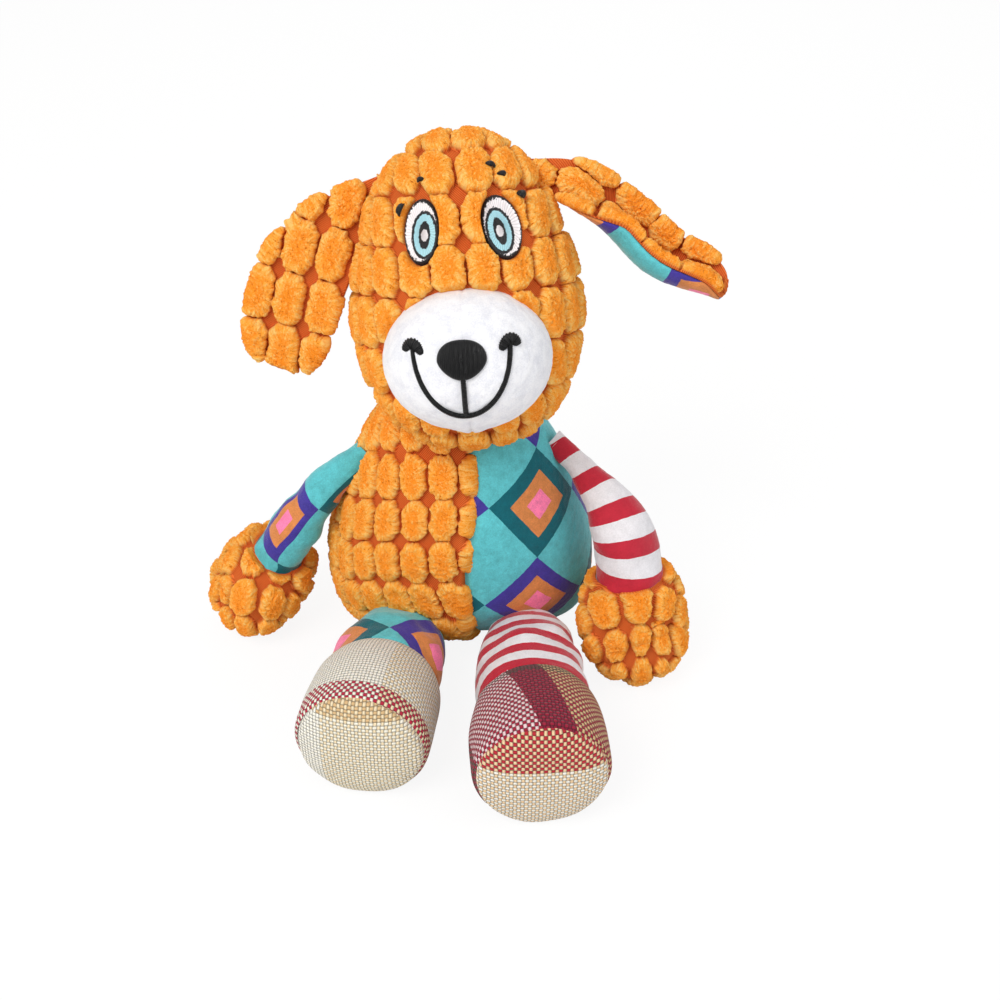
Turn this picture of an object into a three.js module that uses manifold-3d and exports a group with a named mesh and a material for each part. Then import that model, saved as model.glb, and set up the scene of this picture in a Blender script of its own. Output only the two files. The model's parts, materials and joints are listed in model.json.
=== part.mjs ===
// A squeaky plush dog that sits up: stuffed cloth forms, sewn-on limbs and ears, a squeaker in the belly.
// Millimetres, +Z up. The dog looks along -Y, its own right side is at -X, and its flat seat holds the origin.
import * as THREE from "three";
import { mergeVertices } from "three/addons/utils/BufferGeometryUtils.js";
import Module from "manifold-3d";

// Cloth, pile and the gaps between sewn pieces
const CLOTH = { thickness: 1.5, pile: 4, seam: 0.3, clearance: 0.35, swing: 0.6, floorCut: 0.5 };
// How far the top of a tuft stands in from the grooves round it
const TUFT_INSET_SHARE = 0.22;
// Which rings of the body and of the head lie between two rows of tufts
const TUFT_RINGS = [0, 2, 3, 4, 5, 6, 7, 8, 10];

// Body: a pear that is widest low down, cut flat where it sits
const BODY = { height: 108, halfWidth: 51, halfDepth: 39, centreSeam: 3, sideSeam: 6 };
const BODY_SIDES = 20;
// Height, width and depth of each ring
const BODY_RING_SHARES = [
  [0, 0.55, 0.3],
  [0.035, 0.83, 0.43],
  [0.09, 0.93, 0.61],
  [0.18, 0.985, 0.86],
  [0.28, 1, 1],
  [0.41, 0.97, 1],
  [0.55, 0.89, 0.94],
  [0.69, 0.78, 0.83],
  [0.81, 0.66, 0.7],
  [0.91, 0.5, 0.54],
  [0.97, 0.33, 0.36],
  [1, 0.12, 0.14],
];

// Neck: the stuffing that passes from the body into the head, and how far the head nods and turns on it
const NECK = { radius: 15 };
const NECK_LIFT_SHARE = 0.963;
const NECK_SIDE_SHARE = 0.04;
const NECK_FORWARD_SHARE = 0.1;
const BALL_SIDES = 12;
const NECK_SIDES = 16;
const NOD_RANGE = { lowDegrees: -15, highDegrees: 15 };
const TURN_RANGE = { lowDegrees: -25, highDegrees: 25 };

// Head: an egg that leans back and a little to the dog's right
const HEAD = { halfHeight: 52, halfWidth: 37, halfDepth: 38 };
const HEAD_TILT_DEGREES = 20;
const HEAD_LEAN_DEGREES = 3.5;
const HEAD_SIDES = 20;
// Height and width of each ring
const HEAD_RING_SHARES = [
  [-1.01, 0.16],
  [-0.93, 0.55],
  [-0.74, 0.8],
  [-0.43, 0.955],
  [-0.18, 1],
  [0.05, 0.965],
  [0.25, 0.885],
  [0.54, 0.765],
  [0.69, 0.65],
  [0.83, 0.45],
  [0.91, 0.25],
  [0.945, 0.08],
];
// Where the neck's middle lies in the head: across, back and up
const HEAD_NECK_SHARES = [-0.07, 0.45, -0.84];

// Muzzle: a white dome on the lower half of the face
const MUZZLE = { halfWidth: 28, halfHeight: 24, reach: 55, drop: 21 };
const MUZZLE_SIDES = 18;
// How far forward and how wide each ring is
const MUZZLE_RING_SHARES = [
  [0.3, 0.9],
  [0.5, 1],
  [0.64, 0.99],
  [0.76, 0.91],
  [0.87, 0.74],
  [0.95, 0.48],
  [0.99, 0.2],
];

// Embroidery: eyes on the forehead, nose and mouth on the muzzle
const EYE = { halfWidth: 5.8, halfHeight: 10.4, apart: 12, aside: 1.8, lift: 20, thickness: 1.2 };
const EYES = [
  { name: "right_eye_patch", side: -1, slantDegrees: -6 },
  { name: "left_eye_patch", side: 1, slantDegrees: 14 },
];
const NOSE = { halfWidth: 8.3, halfHeight: 6.3, lift: 1.5, thickness: 1.8 };
// The nose's outline from its foot: two handles and an end for each stretch, across and up
const NOSE_STRETCH_SHARES = [
  [0.5, -1, 1, -0.3, 1, 0.35],
  [1, 0.85, 0.6, 1, 0, 1],
  [-0.6, 1, -1, 0.85, -1, 0.35],
  [-1, -0.3, -0.5, -1, 0, -1],
];
const MOUTH = { halfWidth: 16, drop: 22, rise: 5, line: 1.6, dimple: 2.6, thickness: 0.8 };
const MOUTH_STEPS = 10;
const OUTLINE_STEPS = 5;

// Ears: a plush face and a printed or striped lining, held in the head's side seam
const EAR = { length: 88, halfWidth: 18.5, plush: 5.2, lining: 2, rootDepth: 5 };
const EAR_STATIONS = 9;
const EAR_ACROSS = 5;
// Place along the ear, width, thickness and curl there
const EAR_SHARES = [
  [0, 0.36, 0.5, 0],
  [0.12, 0.4, 0.55, 0.1],
  [0.28, 0.7, 0.85, 0.6],
  [0.45, 0.95, 1, 1],
  [0.62, 1, 1, 1],
  [0.78, 0.94, 1, 1],
  [0.9, 0.72, 0.95, 0.9],
  [0.97, 0.42, 0.8, 0.6],
  [1, 0.16, 0.5, 0.3],
];
const EAR_EDGE_SHARE = 0.4;
const EAR_SLOT_SHARE = 1.95;
const FLAT_DEGREES = 1;
const RIGHT_EAR = {
  side: -1,
  rootLiftShare: 0.64,
  spineShares: [
    [0, 0, 0],
    [-0.12, -0.03, -0.05],
    [-0.25, -0.08, -0.19],
    [-0.37, -0.13, -0.4],
    [-0.46, -0.17, -0.69],
  ],
  faceShares: [-0.1, -0.85, 0.5],
  curlDegrees: 26,
  lowDegrees: 0,
  highDegrees: 55,
};
const LEFT_EAR = {
  side: 1,
  rootLiftShare: 0.68,
  spineShares: [
    [0, 0, 0],
    [0.15, -0.02, -0.05],
    [0.36, -0.06, -0.19],
    [0.58, -0.1, -0.31],
    [0.8, -0.13, -0.46],
  ],
  faceShares: [0.5, -0.06, 0.86],
  curlDegrees: 140,
  lowDegrees: -25,
  highDegrees: 35,
};

// Limbs: each starts as a round end in the body, and is trimmed so that it clears the body as it swings
const LIMB_SIDES = 12;
const ROUND_END_STEPS = 2;
// Where in each half of its range a limb is trimmed
const STOP_SHARES = [0, 1];

// Arms: a sleeve and a plush hand that lies on the floor
const ARM = { reach: 81, halfWidth: 13.5, halfDepth: 12, rootRadius: 9 };
// The steepest that an arm drops to the floor
const ARM_DROP_SHARE = 0.95;
const HAND = { halfWidth: 18.5, halfDepth: 15, pastCentre: 15, droop: 7.5 };
const WRIST_SHARE = 0.64;
// Place along the arm, width and depth
const SLEEVE_RING_SHARES = [
  [0.1, 0.76, 0.82],
  [0.36, 0.97, 0.98],
  [WRIST_SHARE, 0.98, 0.98],
];
const HAND_RING_SHARES = [
  [0.71, 0.93, 0.94],
  [0.81, 1, 1],
  [0.9, 0.9, 0.9],
  [0.96, 0.66, 0.66],
  [0.99, 0.34, 0.34],
];
const RIGHT_ARM = {
  side: -1,
  liftShare: 0.74,
  forwardShare: 0.1,
  headingDegrees: 182,
  bowShares: [-0.01, 0, 0.01],
  tipHeadingDegrees: 190,
  lowDegrees: 0,
  highDegrees: 60,
};
const LEFT_ARM = {
  side: 1,
  liftShare: 0.8,
  forwardShare: 0.16,
  headingDegrees: -45,
  bowShares: [0.11, 0.02, 0.09],
  tipHeadingDegrees: -60,
  lowDegrees: 0,
  highDegrees: 60,
};

// Legs: a narrow hip that swells to a blunt foot with a sole of its own
const LEG = { length: 44, hipRadius: 9.5, halfWidth: 20.5, halfDepth: 18.5 };
const FOOT = { length: 42, halfWidth: 23.5, halfDepth: 23.5, soleLength: 6 };
// Place along the leg, width and depth
const LEG_RING_SHARES = [
  [0.3, 0.83, 0.78],
  [0.55, 0.95, 0.94],
  [0.8, 1, 0.98],
  [1, 0.98, 1],
];
const FOOT_RING_SHARES = [
  [0.15, 0.94, 0.9],
  [0.38, 1, 0.98],
  [0.67, 1, 1],
  [0.857, 0.96, 0.96],
  [0.94, 0.75, 0.75],
  [0.985, 0.42, 0.42],
];
const RIGHT_LEG = { side: -1, apartShare: 0.46, lengthShare: 0.94, headingDegrees: -98 };
const LEFT_LEG = { side: 1, apartShare: 0.46, lengthShare: 1.24, headingDegrees: -87 };
const LEG_RANGE = { lowDegrees: -30, highDegrees: 12 };
const HIP_LIFT_SHARE = 0.13;
const HIP_FORWARD_SHARE = 0.88;
const ANKLE_LIFT_SHARE = 0.88;

// Squeaker: two dished halves that telescope, and a whistle with a reed
const SQUEAKER = { radius: 19, wall: 1.2, backDepth: 16, frontDepth: 9, lap: 2.5, travel: 6, lift: 44 };
const WHISTLE = { radius: 4.5, length: 11, flange: 6.5, flangeDepth: 1.6, channel: 3.4, channelDepth: 2.2 };
const REED = { width: 2.7, length: 7, thickness: 0.4 };
const ROUND_SIDES = 16;
const DOME_DEGREES = [0, 30, 55, 75];

// Colours of the cloths, as the eye sees them
const COLOURS = {
  plush: 0xf08c2e,
  whitePile: 0xf2f2f0,
  black: 0x141414,
  paleBlue: 0xa9dfe8,
  aqua: 0x4fb9bd,
  stripe: 0xc8313f,
  linen: 0xc9b592,
  tweed: 0x9c5a50,
  filling: 0xf5f5f5,
  plastic: 0xe9e6dc,
  reed: 0xd8d8d8,
};

const wasm = await Module();
wasm.setup();

const X = new THREE.Vector3(1, 0, 0);
const Y = new THREE.Vector3(0, 1, 0);
const Z = new THREE.Vector3(0, 0, 1);
const radians = THREE.MathUtils.degToRad;
const seamHalf = CLOTH.seam / 2;

// A profile with its heights turned over, read the other way so that it still faces out.
function flipped(profile) {
  return profile.map(([radius, height]) => [radius, -height]).reverse();
}

function blockAt(centre, width, depth, height) {
  return solidOf(new THREE.BoxGeometry(width, depth, height).translate(centre.x, centre.y, centre.z));
}

// Half the size of a block that is larger than the whole toy
const BLOCK = 4 * (BODY.height + HEAD.halfHeight + LEG.length + ARM.reach);

// A closed geometry as a solid that can be cut and joined.
function solidOf(geometry) {
  const bare = geometry.clone();
  bare.deleteAttribute("normal");
  bare.deleteAttribute("uv");
  const merged = mergeVertices(bare);
  const corners = [...merged.index.array];
  const triVerts = [];
  for (let i = 0; i < corners.length; i += 3) {
    const [a, b, c] = corners.slice(i, i + 3);
    if (a !== b && b !== c && c !== a) triVerts.push(a, b, c);
  }
  return new wasm.Manifold(
    new wasm.Mesh({
      numProp: 3,
      vertProperties: new Float32Array(merged.attributes.position.array),
      triVerts: new Uint32Array(triVerts),
    }),
  );
}

// A solid as a geometry with flat normals.
function geometryOf(solid) {
  const mesh = solid.getMesh();
  const geometry = new THREE.BufferGeometry();
  geometry.setAttribute("position", new THREE.BufferAttribute(mesh.vertProperties, 3));
  geometry.setIndex(new THREE.BufferAttribute(mesh.triVerts, 1));
  geometry.computeVertexNormals();
  return geometry;
}

function middleOf(points) {
  const sum = new THREE.Vector3();
  for (const point of points) sum.add(point);
  return sum.divideScalar(points.length);
}

// A closed skin through rings of points, each end closed by a fan.
function loft(rings) {
  const sides = rings[0].length;
  const points = [...rings.flat(), middleOf(rings[0]), middleOf(rings.at(-1))];
  const start = points.length - 2;
  const end = points.length - 1;
  const last = (rings.length - 1) * sides;
  const faces = [];
  for (let j = 0; j < sides; j += 1) {
    const next = (j + 1) % sides;
    faces.push(start, next, j);
    faces.push(end, last + j, last + next);
    for (let low = 0; low < last; low += sides) {
      const [a, b, c, d] = [low + j, low + next, low + sides + next, low + sides + j];
      const short = points[a].distanceTo(points[c]) < points[b].distanceTo(points[d]);
      faces.push(...(short ? [a, b, c, a, c, d] : [a, b, d, b, c, d]));
    }
  }
  const geometry = new THREE.BufferGeometry().setFromPoints(points);
  geometry.setIndex(faces);
  return geometry;
}

// The outer face of tufted plush: a raised tuft on each panel between two rings, and one on each end.
function tufted(rings) {
  const sides = rings[0].length;
  const last = (rings.length - 1) * sides;
  const points = rings.flat();
  const faces = [];
  const addTuft = (panel) => {
    const corners = panel.map((index) => points[index]);
    const middle = middleOf(corners);
    const spokes = corners.map((corner) => corner.clone().sub(middle));
    const turns = spokes.map((spoke, i) => spoke.clone().cross(spokes[(i + 1) % panel.length]));
    const rise = middleOf(turns).setLength(CLOTH.pile);
    const first = points.length;
    points.push(...corners.map((corner) => corner.clone().lerp(middle, TUFT_INSET_SHARE).add(rise)));
    panel.forEach((index, i) => {
      const next = (i + 1) % panel.length;
      faces.push(index, panel[next], first + next, index, first + next, first + i);
      if (i > 1) faces.push(first, first + i - 1, first + i);
    });
  };
  const around = Array.from({ length: sides }, (_, j) => j);
  addTuft(around.toReversed());
  addTuft(around.map((j) => last + j));
  for (let low = 0; low < last; low += sides) {
    for (const j of around) {
      const next = (j + 1) % sides;
      addTuft([low + j, low + next, low + sides + next, low + sides + j]);
    }
  }
  const geometry = new THREE.BufferGeometry().setFromPoints(points);
  geometry.setIndex(faces);
  return geometry;
}

// A stuffed form: its rings, its cloth, and the plainer core that lies inside it.
function formOf(rings) {
  const last = rings.length - 1;
  const fewer = rings.filter((_, i) => i % 2 === 0 || i === last);
  return { rings, cloth: loft(rings), core: loft(fewer.map((ring) => ring.filter((_, j) => j % 2 === 0))) };
}

// A ring of points round a centre, counter-clockwise from across to through.
function oval(centre, across, through, halfWidth, halfDepth, sides) {
  return Array.from({ length: sides }, (_, i) => {
    const angle = (2 * Math.PI * i) / sides;
    return centre
      .clone()
      .addScaledVector(across, halfWidth * Math.cos(angle))
      .addScaledVector(through, halfDepth * Math.sin(angle));
  });
}

// The same form with every point moved out along its normal, or in where the distance is negative.
function swell(geometry, distance) {
  const grown = geometry.clone();
  grown.computeVertexNormals();
  const place = grown.attributes.position;
  const normal = grown.attributes.normal;
  for (let i = 0; i < place.count; i += 1) {
    place.setXYZ(
      i,
      place.getX(i) + distance * normal.getX(i),
      place.getY(i) + distance * normal.getY(i),
      place.getZ(i) + distance * normal.getZ(i),
    );
  }
  return grown;
}

// A value read from a table of shares, straight between its rows.
function fromTable(table, at, column) {
  const above = table.findIndex((row) => row[0] >= at);
  if (above < 0) return table.at(-1)[column];
  if (above === 0) return table[0][column];
  const [low, high] = [table[above - 1], table[above]];
  return THREE.MathUtils.mapLinear(at, low[0], high[0], low[column], high[column]);
}

// All the space on one side of a plane, the side that its normal points to.
function beyond(point, normal) {
  const block = new THREE.BoxGeometry(BLOCK, BLOCK, BLOCK).translate(0, 0, BLOCK / 2);
  block.applyQuaternion(new THREE.Quaternion().setFromUnitVectors(Z, normal.clone().normalize()));
  return solidOf(block.translate(point.x, point.y, point.z));
}

// The two sides of a solid, parted at a plane by the seam gap: the side behind the plane, then the side past it.
function parted(solid, point, normal) {
  const way = normal.clone().normalize();
  const past = point.clone().addScaledVector(way, seamHalf);
  const behind = point.clone().addScaledVector(way, -seamHalf);
  return [solid.intersect(beyond(behind, way.clone().negate())), solid.intersect(beyond(past, way))];
}

function ballAt(centre, radius, sides) {
  const ball = new THREE.SphereGeometry(radius, sides, sides / 2).rotateX(Math.PI / 2);
  return solidOf(ball.translate(centre.x, centre.y, centre.z));
}

// A round room whose flat facets all stay outside the radius.
function roomAt(centre, radius, sides) {
  return ballAt(centre, radius / Math.cos(Math.PI / sides) ** 2, sides);
}

function turnAbout(pivot, axis, degrees) {
  const away = new THREE.Matrix4().makeTranslation(pivot.clone().negate());
  const turn = new THREE.Matrix4().makeRotationAxis(axis, radians(degrees));
  return new THREE.Matrix4().makeTranslation(pivot).multiply(turn).multiply(away);
}

// A piece trimmed by what it swings past, at steps through the joint's range.
function trimmed(solid, obstacle, joint) {
  const stops = STOP_SHARES.flatMap((share) => [share * joint.lowDegrees, share * joint.highDegrees]);
  let left = solid;
  for (const degrees of new Set(stops)) {
    const back = turnAbout(joint.pivot, joint.axis, -degrees);
    left = left.subtract(obstacle.transform(back.elements));
  }
  return largest(left);
}

// The largest of the bodies that a cut leaves.
function largest(solid) {
  const bodies = solid.decompose();
  return bodies.reduce((best, next) => (next.volume() > best.volume() ? next : best));
}

const root = new THREE.Group();

// A group whose origin is a joint's place.
function groupAt(parent, point) {
  const group = new THREE.Group();
  parent.add(group);
  parent.updateWorldMatrix(true, false);
  group.position.copy(parent.worldToLocal(point.clone()));
  group.updateWorldMatrix(true, false);
  return group;
}

// A named mesh, held in the frame of its group.
function addPiece(group, name, solid, colour, roughness = 0.9) {
  const geometry = geometryOf(solid);
  geometry.applyMatrix4(group.matrixWorld.clone().invert());
  const material = new THREE.MeshStandardMaterial({ color: colour, roughness, metalness: 0 });
  const mesh = new THREE.Mesh(geometry, material);
  mesh.name = name;
  group.add(mesh);
}

const floor = beyond(new THREE.Vector3(), Z.clone().negate());

const neckPoint = new THREE.Vector3(
  NECK_SIDE_SHARE * BODY.halfWidth,
  -NECK_FORWARD_SHARE * BODY.halfDepth,
  NECK_LIFT_SHARE * BODY.height,
);

// Neck
const neckGroup = groupAt(root, neckPoint);
const neckBall = ballAt(new THREE.Vector3(), NECK.radius, NECK_SIDES).rotate([0, 0, 180 / NECK_SIDES]);
addPiece(neckGroup, "neck_stuffing", neckBall.translate(neckPoint.toArray()), COLOURS.filling);

// The head's frame: its X across, Y to the back of the head, Z to the crown
const headGroup = groupAt(neckGroup, neckPoint);
headGroup.rotation.set(-radians(HEAD_TILT_DEGREES), -radians(HEAD_LEAN_DEGREES), 0);
const neckInHead = new THREE.Vector3(
  HEAD_NECK_SHARES[0] * HEAD.halfWidth,
  HEAD_NECK_SHARES[1] * HEAD.halfDepth,
  HEAD_NECK_SHARES[2] * HEAD.halfHeight,
);
headGroup.position.copy(neckInHead.applyEuler(headGroup.rotation).negate());
headGroup.updateWorldMatrix(true, false);
const toWorld = headGroup.matrixWorld;
const headBack = Y.clone().transformDirection(toWorld);

const headForm = formOf(
  HEAD_RING_SHARES.map(([up, wide]) => {
    const centre = new THREE.Vector3(0, 0, up * HEAD.halfHeight);
    const ring = oval(centre, X, Y, wide * HEAD.halfWidth, wide * HEAD.halfDepth, HEAD_SIDES);
    return ring.map((point) => point.applyMatrix4(toWorld));
  }),
);

const muzzleForm = formOf(
  MUZZLE_RING_SHARES.map(([forward, wide]) => {
    const centre = new THREE.Vector3(0, -forward * MUZZLE.reach, -MUZZLE.drop);
    const ring = oval(centre, X, Z, wide * MUZZLE.halfWidth, wide * MUZZLE.halfHeight, MUZZLE_SIDES);
    return ring.map((point) => point.applyMatrix4(toWorld));
  }),
);

// The space that the head sweeps as it nods and turns, which leaves a dish in the body
const sweptHead = solidOf(swell(headForm.cloth, CLOTH.pile + CLOTH.clearance));
const nods = [NOD_RANGE.lowDegrees, 0, NOD_RANGE.highDegrees];
const turns = [TURN_RANGE.lowDegrees, 0, TURN_RANGE.highDegrees];
const neckTurns = nods.flatMap((nod) => turns.map((turn) => [nod, turn]));
const sweeps = neckTurns.map(([nod, turn]) => {
  const turnedBy = turnAbout(neckPoint, X, nod).multiply(turnAbout(neckPoint, Z, turn));
  return sweptHead.transform(turnedBy.elements);
});
const neckRoom = roomAt(neckPoint, NECK.radius + CLOTH.clearance, NECK_SIDES);
const headDish = sweeps.reduce((all, sweep) => all.add(sweep), neckRoom);

// Body form
const bodyForm = formOf(
  BODY_RING_SHARES.map(([up, wide, deep]) => {
    const centre = new THREE.Vector3(0, 0, up * BODY.height - CLOTH.floorCut);
    return oval(centre, X, Y, wide * BODY.halfWidth, deep * BODY.halfDepth, BODY_SIDES);
  }),
);

// A point on the body's cloth at a height, part of the way forward.
function onBody(liftShare, side, forwardShare) {
  const halfWidth = BODY.halfWidth * fromTable(BODY_RING_SHARES, liftShare, 1);
  const halfDepth = BODY.halfDepth * fromTable(BODY_RING_SHARES, liftShare, 2);
  return new THREE.Vector3(
    side * halfWidth * Math.sqrt(1 - forwardShare ** 2),
    -forwardShare * halfDepth,
    liftShare * BODY.height,
  );
}

// Rings of a round end about a pivot, from its pole to its widest.
function roundEnd(pivot, frame, radius) {
  return Array.from({ length: ROUND_END_STEPS }, (_, i) => {
    const angle = radians((90 * (i + 1)) / (ROUND_END_STEPS + 1));
    const centre = pivot.clone().addScaledVector(frame.along, -radius * Math.cos(angle));
    return oval(centre, frame.across, frame.through, radius * Math.sin(angle), radius * Math.sin(angle), LIMB_SIDES);
  });
}

// The directions along, across and through a limb.
function frameFor(along, face) {
  const across = face.clone().cross(along).normalize();
  return { along, across, through: along.clone().cross(across) };
}

// A stuffed limb: a round root, then one oval for each row of place, half width and half depth.
function limbForm(spine, rootRadius, rows) {
  const rings = roundEnd(spine.getPointAt(0), frameFor(spine.getTangentAt(0), Z), rootRadius);
  for (const [at, halfWidth, halfDepth] of rows) {
    const { across, through } = frameFor(spine.getTangentAt(at), Z);
    rings.push(oval(spine.getPointAt(at), across, through, halfWidth, halfDepth, LIMB_SIDES));
  }
  return formOf(rings);
}

// The cloth and filling of a form: its skin with a smooth outside or with tufts, and what fills it.
function skinOf(form, outside) {
  return solidOf(swell(form.cloth, outside)).subtract(solidOf(swell(form.core, -CLOTH.thickness)));
}

function plushSkinOf(form) {
  const outer = tufted(TUFT_RINGS.map((i) => form.rings[i]));
  return solidOf(outer).subtract(solidOf(swell(form.core, -CLOTH.thickness)));
}

function fillingOf(form) {
  return solidOf(swell(form.core, -CLOTH.thickness - CLOTH.clearance));
}

// Shoulders and hips, and the rooms that their round ends take in the body
function armPivot(arm) {
  return onBody(arm.liftShare, arm.side, arm.forwardShare);
}

function hipPivot(leg) {
  const depth = BODY.halfDepth * fromTable(BODY_RING_SHARES, HIP_LIFT_SHARE, 2);
  return new THREE.Vector3(
    leg.side * leg.apartShare * BODY.halfWidth,
    -HIP_FORWARD_SHARE * depth,
    HIP_LIFT_SHARE * BODY.height,
  );
}

function limbRooms(shapeAt, margin) {
  const arms = [RIGHT_ARM, LEFT_ARM].map((arm) => shapeAt(armPivot(arm), ARM.rootRadius + margin, BALL_SIDES));
  const legs = [RIGHT_LEG, LEFT_LEG].map((leg) => shapeAt(hipPivot(leg), LEG.hipRadius + margin, BALL_SIDES));
  return [...arms, ...legs].reduce((all, room) => all.add(room));
}

const bodyCuts = limbRooms(roomAt, CLOTH.clearance).add(headDish).add(floor);

// Body: plush on the dog's right, print on its left, front and back panels
const centreLine = new THREE.Vector3(BODY.centreSeam, 0, 0);
const sideLine = new THREE.Vector3(0, BODY.sideSeam, 0);
const [plushSide] = parted(plushSkinOf(bodyForm).subtract(bodyCuts), centreLine, X);
const [, printSide] = parted(skinOf(bodyForm, 0).subtract(bodyCuts), centreLine, X);
const bodyFilling = fillingOf(bodyForm).subtract(bodyCuts);

const squeakerPoint = new THREE.Vector3(0, BODY.sideSeam, SQUEAKER.lift);
// A turned solid of the squeaker: the profile's heights run to the dog's back.
function turned(profile) {
  const points = profile.map(([radius, height]) => new THREE.Vector2(radius, height));
  const lathe = new THREE.LatheGeometry(points, ROUND_SIDES);
  return solidOf(lathe.translate(squeakerPoint.x, squeakerPoint.y, squeakerPoint.z));
}

// A dome's outline from its rim up to a hole in its middle.
function domeArc(radius, straight, depth, hole) {
  const arc = DOME_DEGREES.map((degrees) => [
    hole + (radius - hole) * Math.cos(radians(degrees)),
    straight + (depth - straight) * Math.sin(radians(degrees)),
  ]);
  return [[radius, 0], ...arc, [hole, depth]];
}

// A dished half: straight walls, then a dome, open at the rim.
function dish(radius, straight, depth, hole) {
  const outer = domeArc(radius, straight, depth, hole);
  const inner = domeArc(radius - SQUEAKER.wall, straight, depth - SQUEAKER.wall, hole);
  return [...outer, ...inner.reverse(), outer[0]];
}

// The body's front and back panels, each plush on one side and printed on the other
const torso = groupAt(root, new THREE.Vector3());
const backwards = Y;
const [plushFront, plushBack] = parted(plushSide, sideLine, backwards);
const [printFront, printBack] = parted(printSide, sideLine, backwards);
addPiece(torso, "body_front_plush", plushFront, COLOURS.plush);
addPiece(torso, "body_back_plush", plushBack, COLOURS.plush);
addPiece(torso, "body_front_print", printFront, COLOURS.aqua, 0.8);
addPiece(torso, "body_back_print", printBack, COLOURS.aqua, 0.8);

// Squeaker: the back half holds the whistle, the front half slides into it when the belly is squeezed
const neckHole = WHISTLE.radius + CLOTH.clearance;
const backStraight = SQUEAKER.lap + SQUEAKER.travel + CLOTH.clearance;
const frontRadius = SQUEAKER.radius - SQUEAKER.wall - CLOTH.clearance;
const frontPoint = new THREE.Vector3(0, SQUEAKER.lap, 0);
const bulbBack = turned(dish(SQUEAKER.radius, backStraight, SQUEAKER.backDepth, neckHole));
const bulbFront = turned(flipped(dish(frontRadius, SQUEAKER.lap, SQUEAKER.frontDepth, 0)));
const bulbFrontGroup = groupAt(torso, squeakerPoint);
addPiece(torso, "squeaker_bulb_back", bulbBack, COLOURS.plastic, 0.4);
addPiece(bulbFrontGroup, "squeaker_bulb_front", bulbFront.translate(frontPoint.toArray()), COLOURS.plastic, 0.4);

// Whistle: two half rounds with the reed between them, in a channel that the air takes
const splitHalf = REED.thickness / 2 + CLOTH.clearance;
const whistleInner = SQUEAKER.backDepth - WHISTLE.length / 2;
const whistleOuter = SQUEAKER.backDepth + CLOTH.clearance + WHISTLE.flangeDepth;
const barrel = turned([
  [0, whistleInner],
  [WHISTLE.radius, whistleInner],
  [WHISTLE.radius, whistleOuter],
  [0, whistleOuter],
]);
const flange = turned([
  [0, whistleOuter - WHISTLE.flangeDepth],
  [WHISTLE.flange, whistleOuter - WHISTLE.flangeDepth],
  [WHISTLE.flange, whistleOuter],
  [0, whistleOuter],
]);
const channelLength = 2 * (whistleOuter + CLOTH.clearance);
const channelHeight = 2 * (splitHalf + WHISTLE.channelDepth);
const channel = blockAt(squeakerPoint, WHISTLE.channel, channelLength, channelHeight);
const below = squeakerPoint.clone().addScaledVector(Z, -splitHalf);
const above = squeakerPoint.clone().addScaledVector(Z, splitHalf);
const flangeFoot = new THREE.Vector3(0, squeakerPoint.y + whistleOuter - WHISTLE.flangeDepth - CLOTH.clearance, 0);
const barrelLow = barrel.intersect(beyond(below, Z.clone().negate()));
const barrelHigh = barrel.intersect(beyond(above, Z)).intersect(beyond(flangeFoot, Y.clone().negate()));
addPiece(torso, "whistle_body", barrelLow.add(flange).subtract(channel), COLOURS.plastic, 0.4);
addPiece(torso, "whistle_cap", largest(barrelHigh.subtract(channel)), COLOURS.plastic, 0.4);
const reedPoint = squeakerPoint.clone().addScaledVector(Y, SQUEAKER.backDepth);
const reedMiddle = reedPoint.clone().addScaledVector(Y, -REED.length / 2);
const reedGroup = groupAt(torso, reedPoint);
const reed = blockAt(reedMiddle, REED.width, REED.length, REED.thickness);
addPiece(reedGroup, "whistle_reed", reed, COLOURS.reed, 0.3);

// The filling of the body, with a pocket round the squeaker
const roomRadius = SQUEAKER.radius + CLOTH.clearance;
const roomBack = SQUEAKER.backDepth + CLOTH.clearance;
const pocketFront = domeArc(roomRadius, 0, SQUEAKER.frontDepth - SQUEAKER.lap + CLOTH.clearance, 0);
const pocketBack = [...domeArc(roomRadius, backStraight, roomBack, neckHole), [0, roomBack]];
const flangeRoom = turned([
  [0, SQUEAKER.lap],
  [WHISTLE.flange + CLOTH.clearance, SQUEAKER.lap],
  [WHISTLE.flange + CLOTH.clearance, whistleOuter + CLOTH.clearance],
  [0, whistleOuter + CLOTH.clearance],
]);
const pocket = turned([...flipped(pocketFront), ...pocketBack.slice(1)]).add(flangeRoom);
const [fillingFront, fillingBack] = parted(bodyFilling.subtract(pocket), sideLine, backwards);
addPiece(torso, "body_stuffing_front", fillingFront, COLOURS.filling);
addPiece(torso, "body_stuffing_back", fillingBack, COLOURS.filling);

// A solid cut straight through the face from an outline drawn on it, across and up.
function throughFace(shape) {
  const prism = new THREE.ExtrudeGeometry(shape, {
    depth: 2 * MUZZLE.reach,
    bevelEnabled: false,
    curveSegments: OUTLINE_STEPS,
  });
  return solidOf(prism.rotateX(Math.PI / 2).applyMatrix4(toWorld));
}

// A layer of stitching that lies on a form.
function stitchedOn(form, thickness) {
  const [top, foot] = [CLOTH.seam + thickness, CLOTH.seam].map((distance) => solidOf(swell(form.cloth, distance)));
  return top.subtract(foot);
}

function eyeShape(eye, margin) {
  const shape = new THREE.Shape();
  const across = EYE.aside + eye.side * EYE.apart;
  const [halfWidth, halfHeight] = [EYE.halfWidth + margin, EYE.halfHeight + margin];
  shape.absellipse(across, EYE.lift, halfWidth, halfHeight, 0, 2 * Math.PI, false, radians(eye.slantDegrees));
  return shape;
}

// Ears

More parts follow.
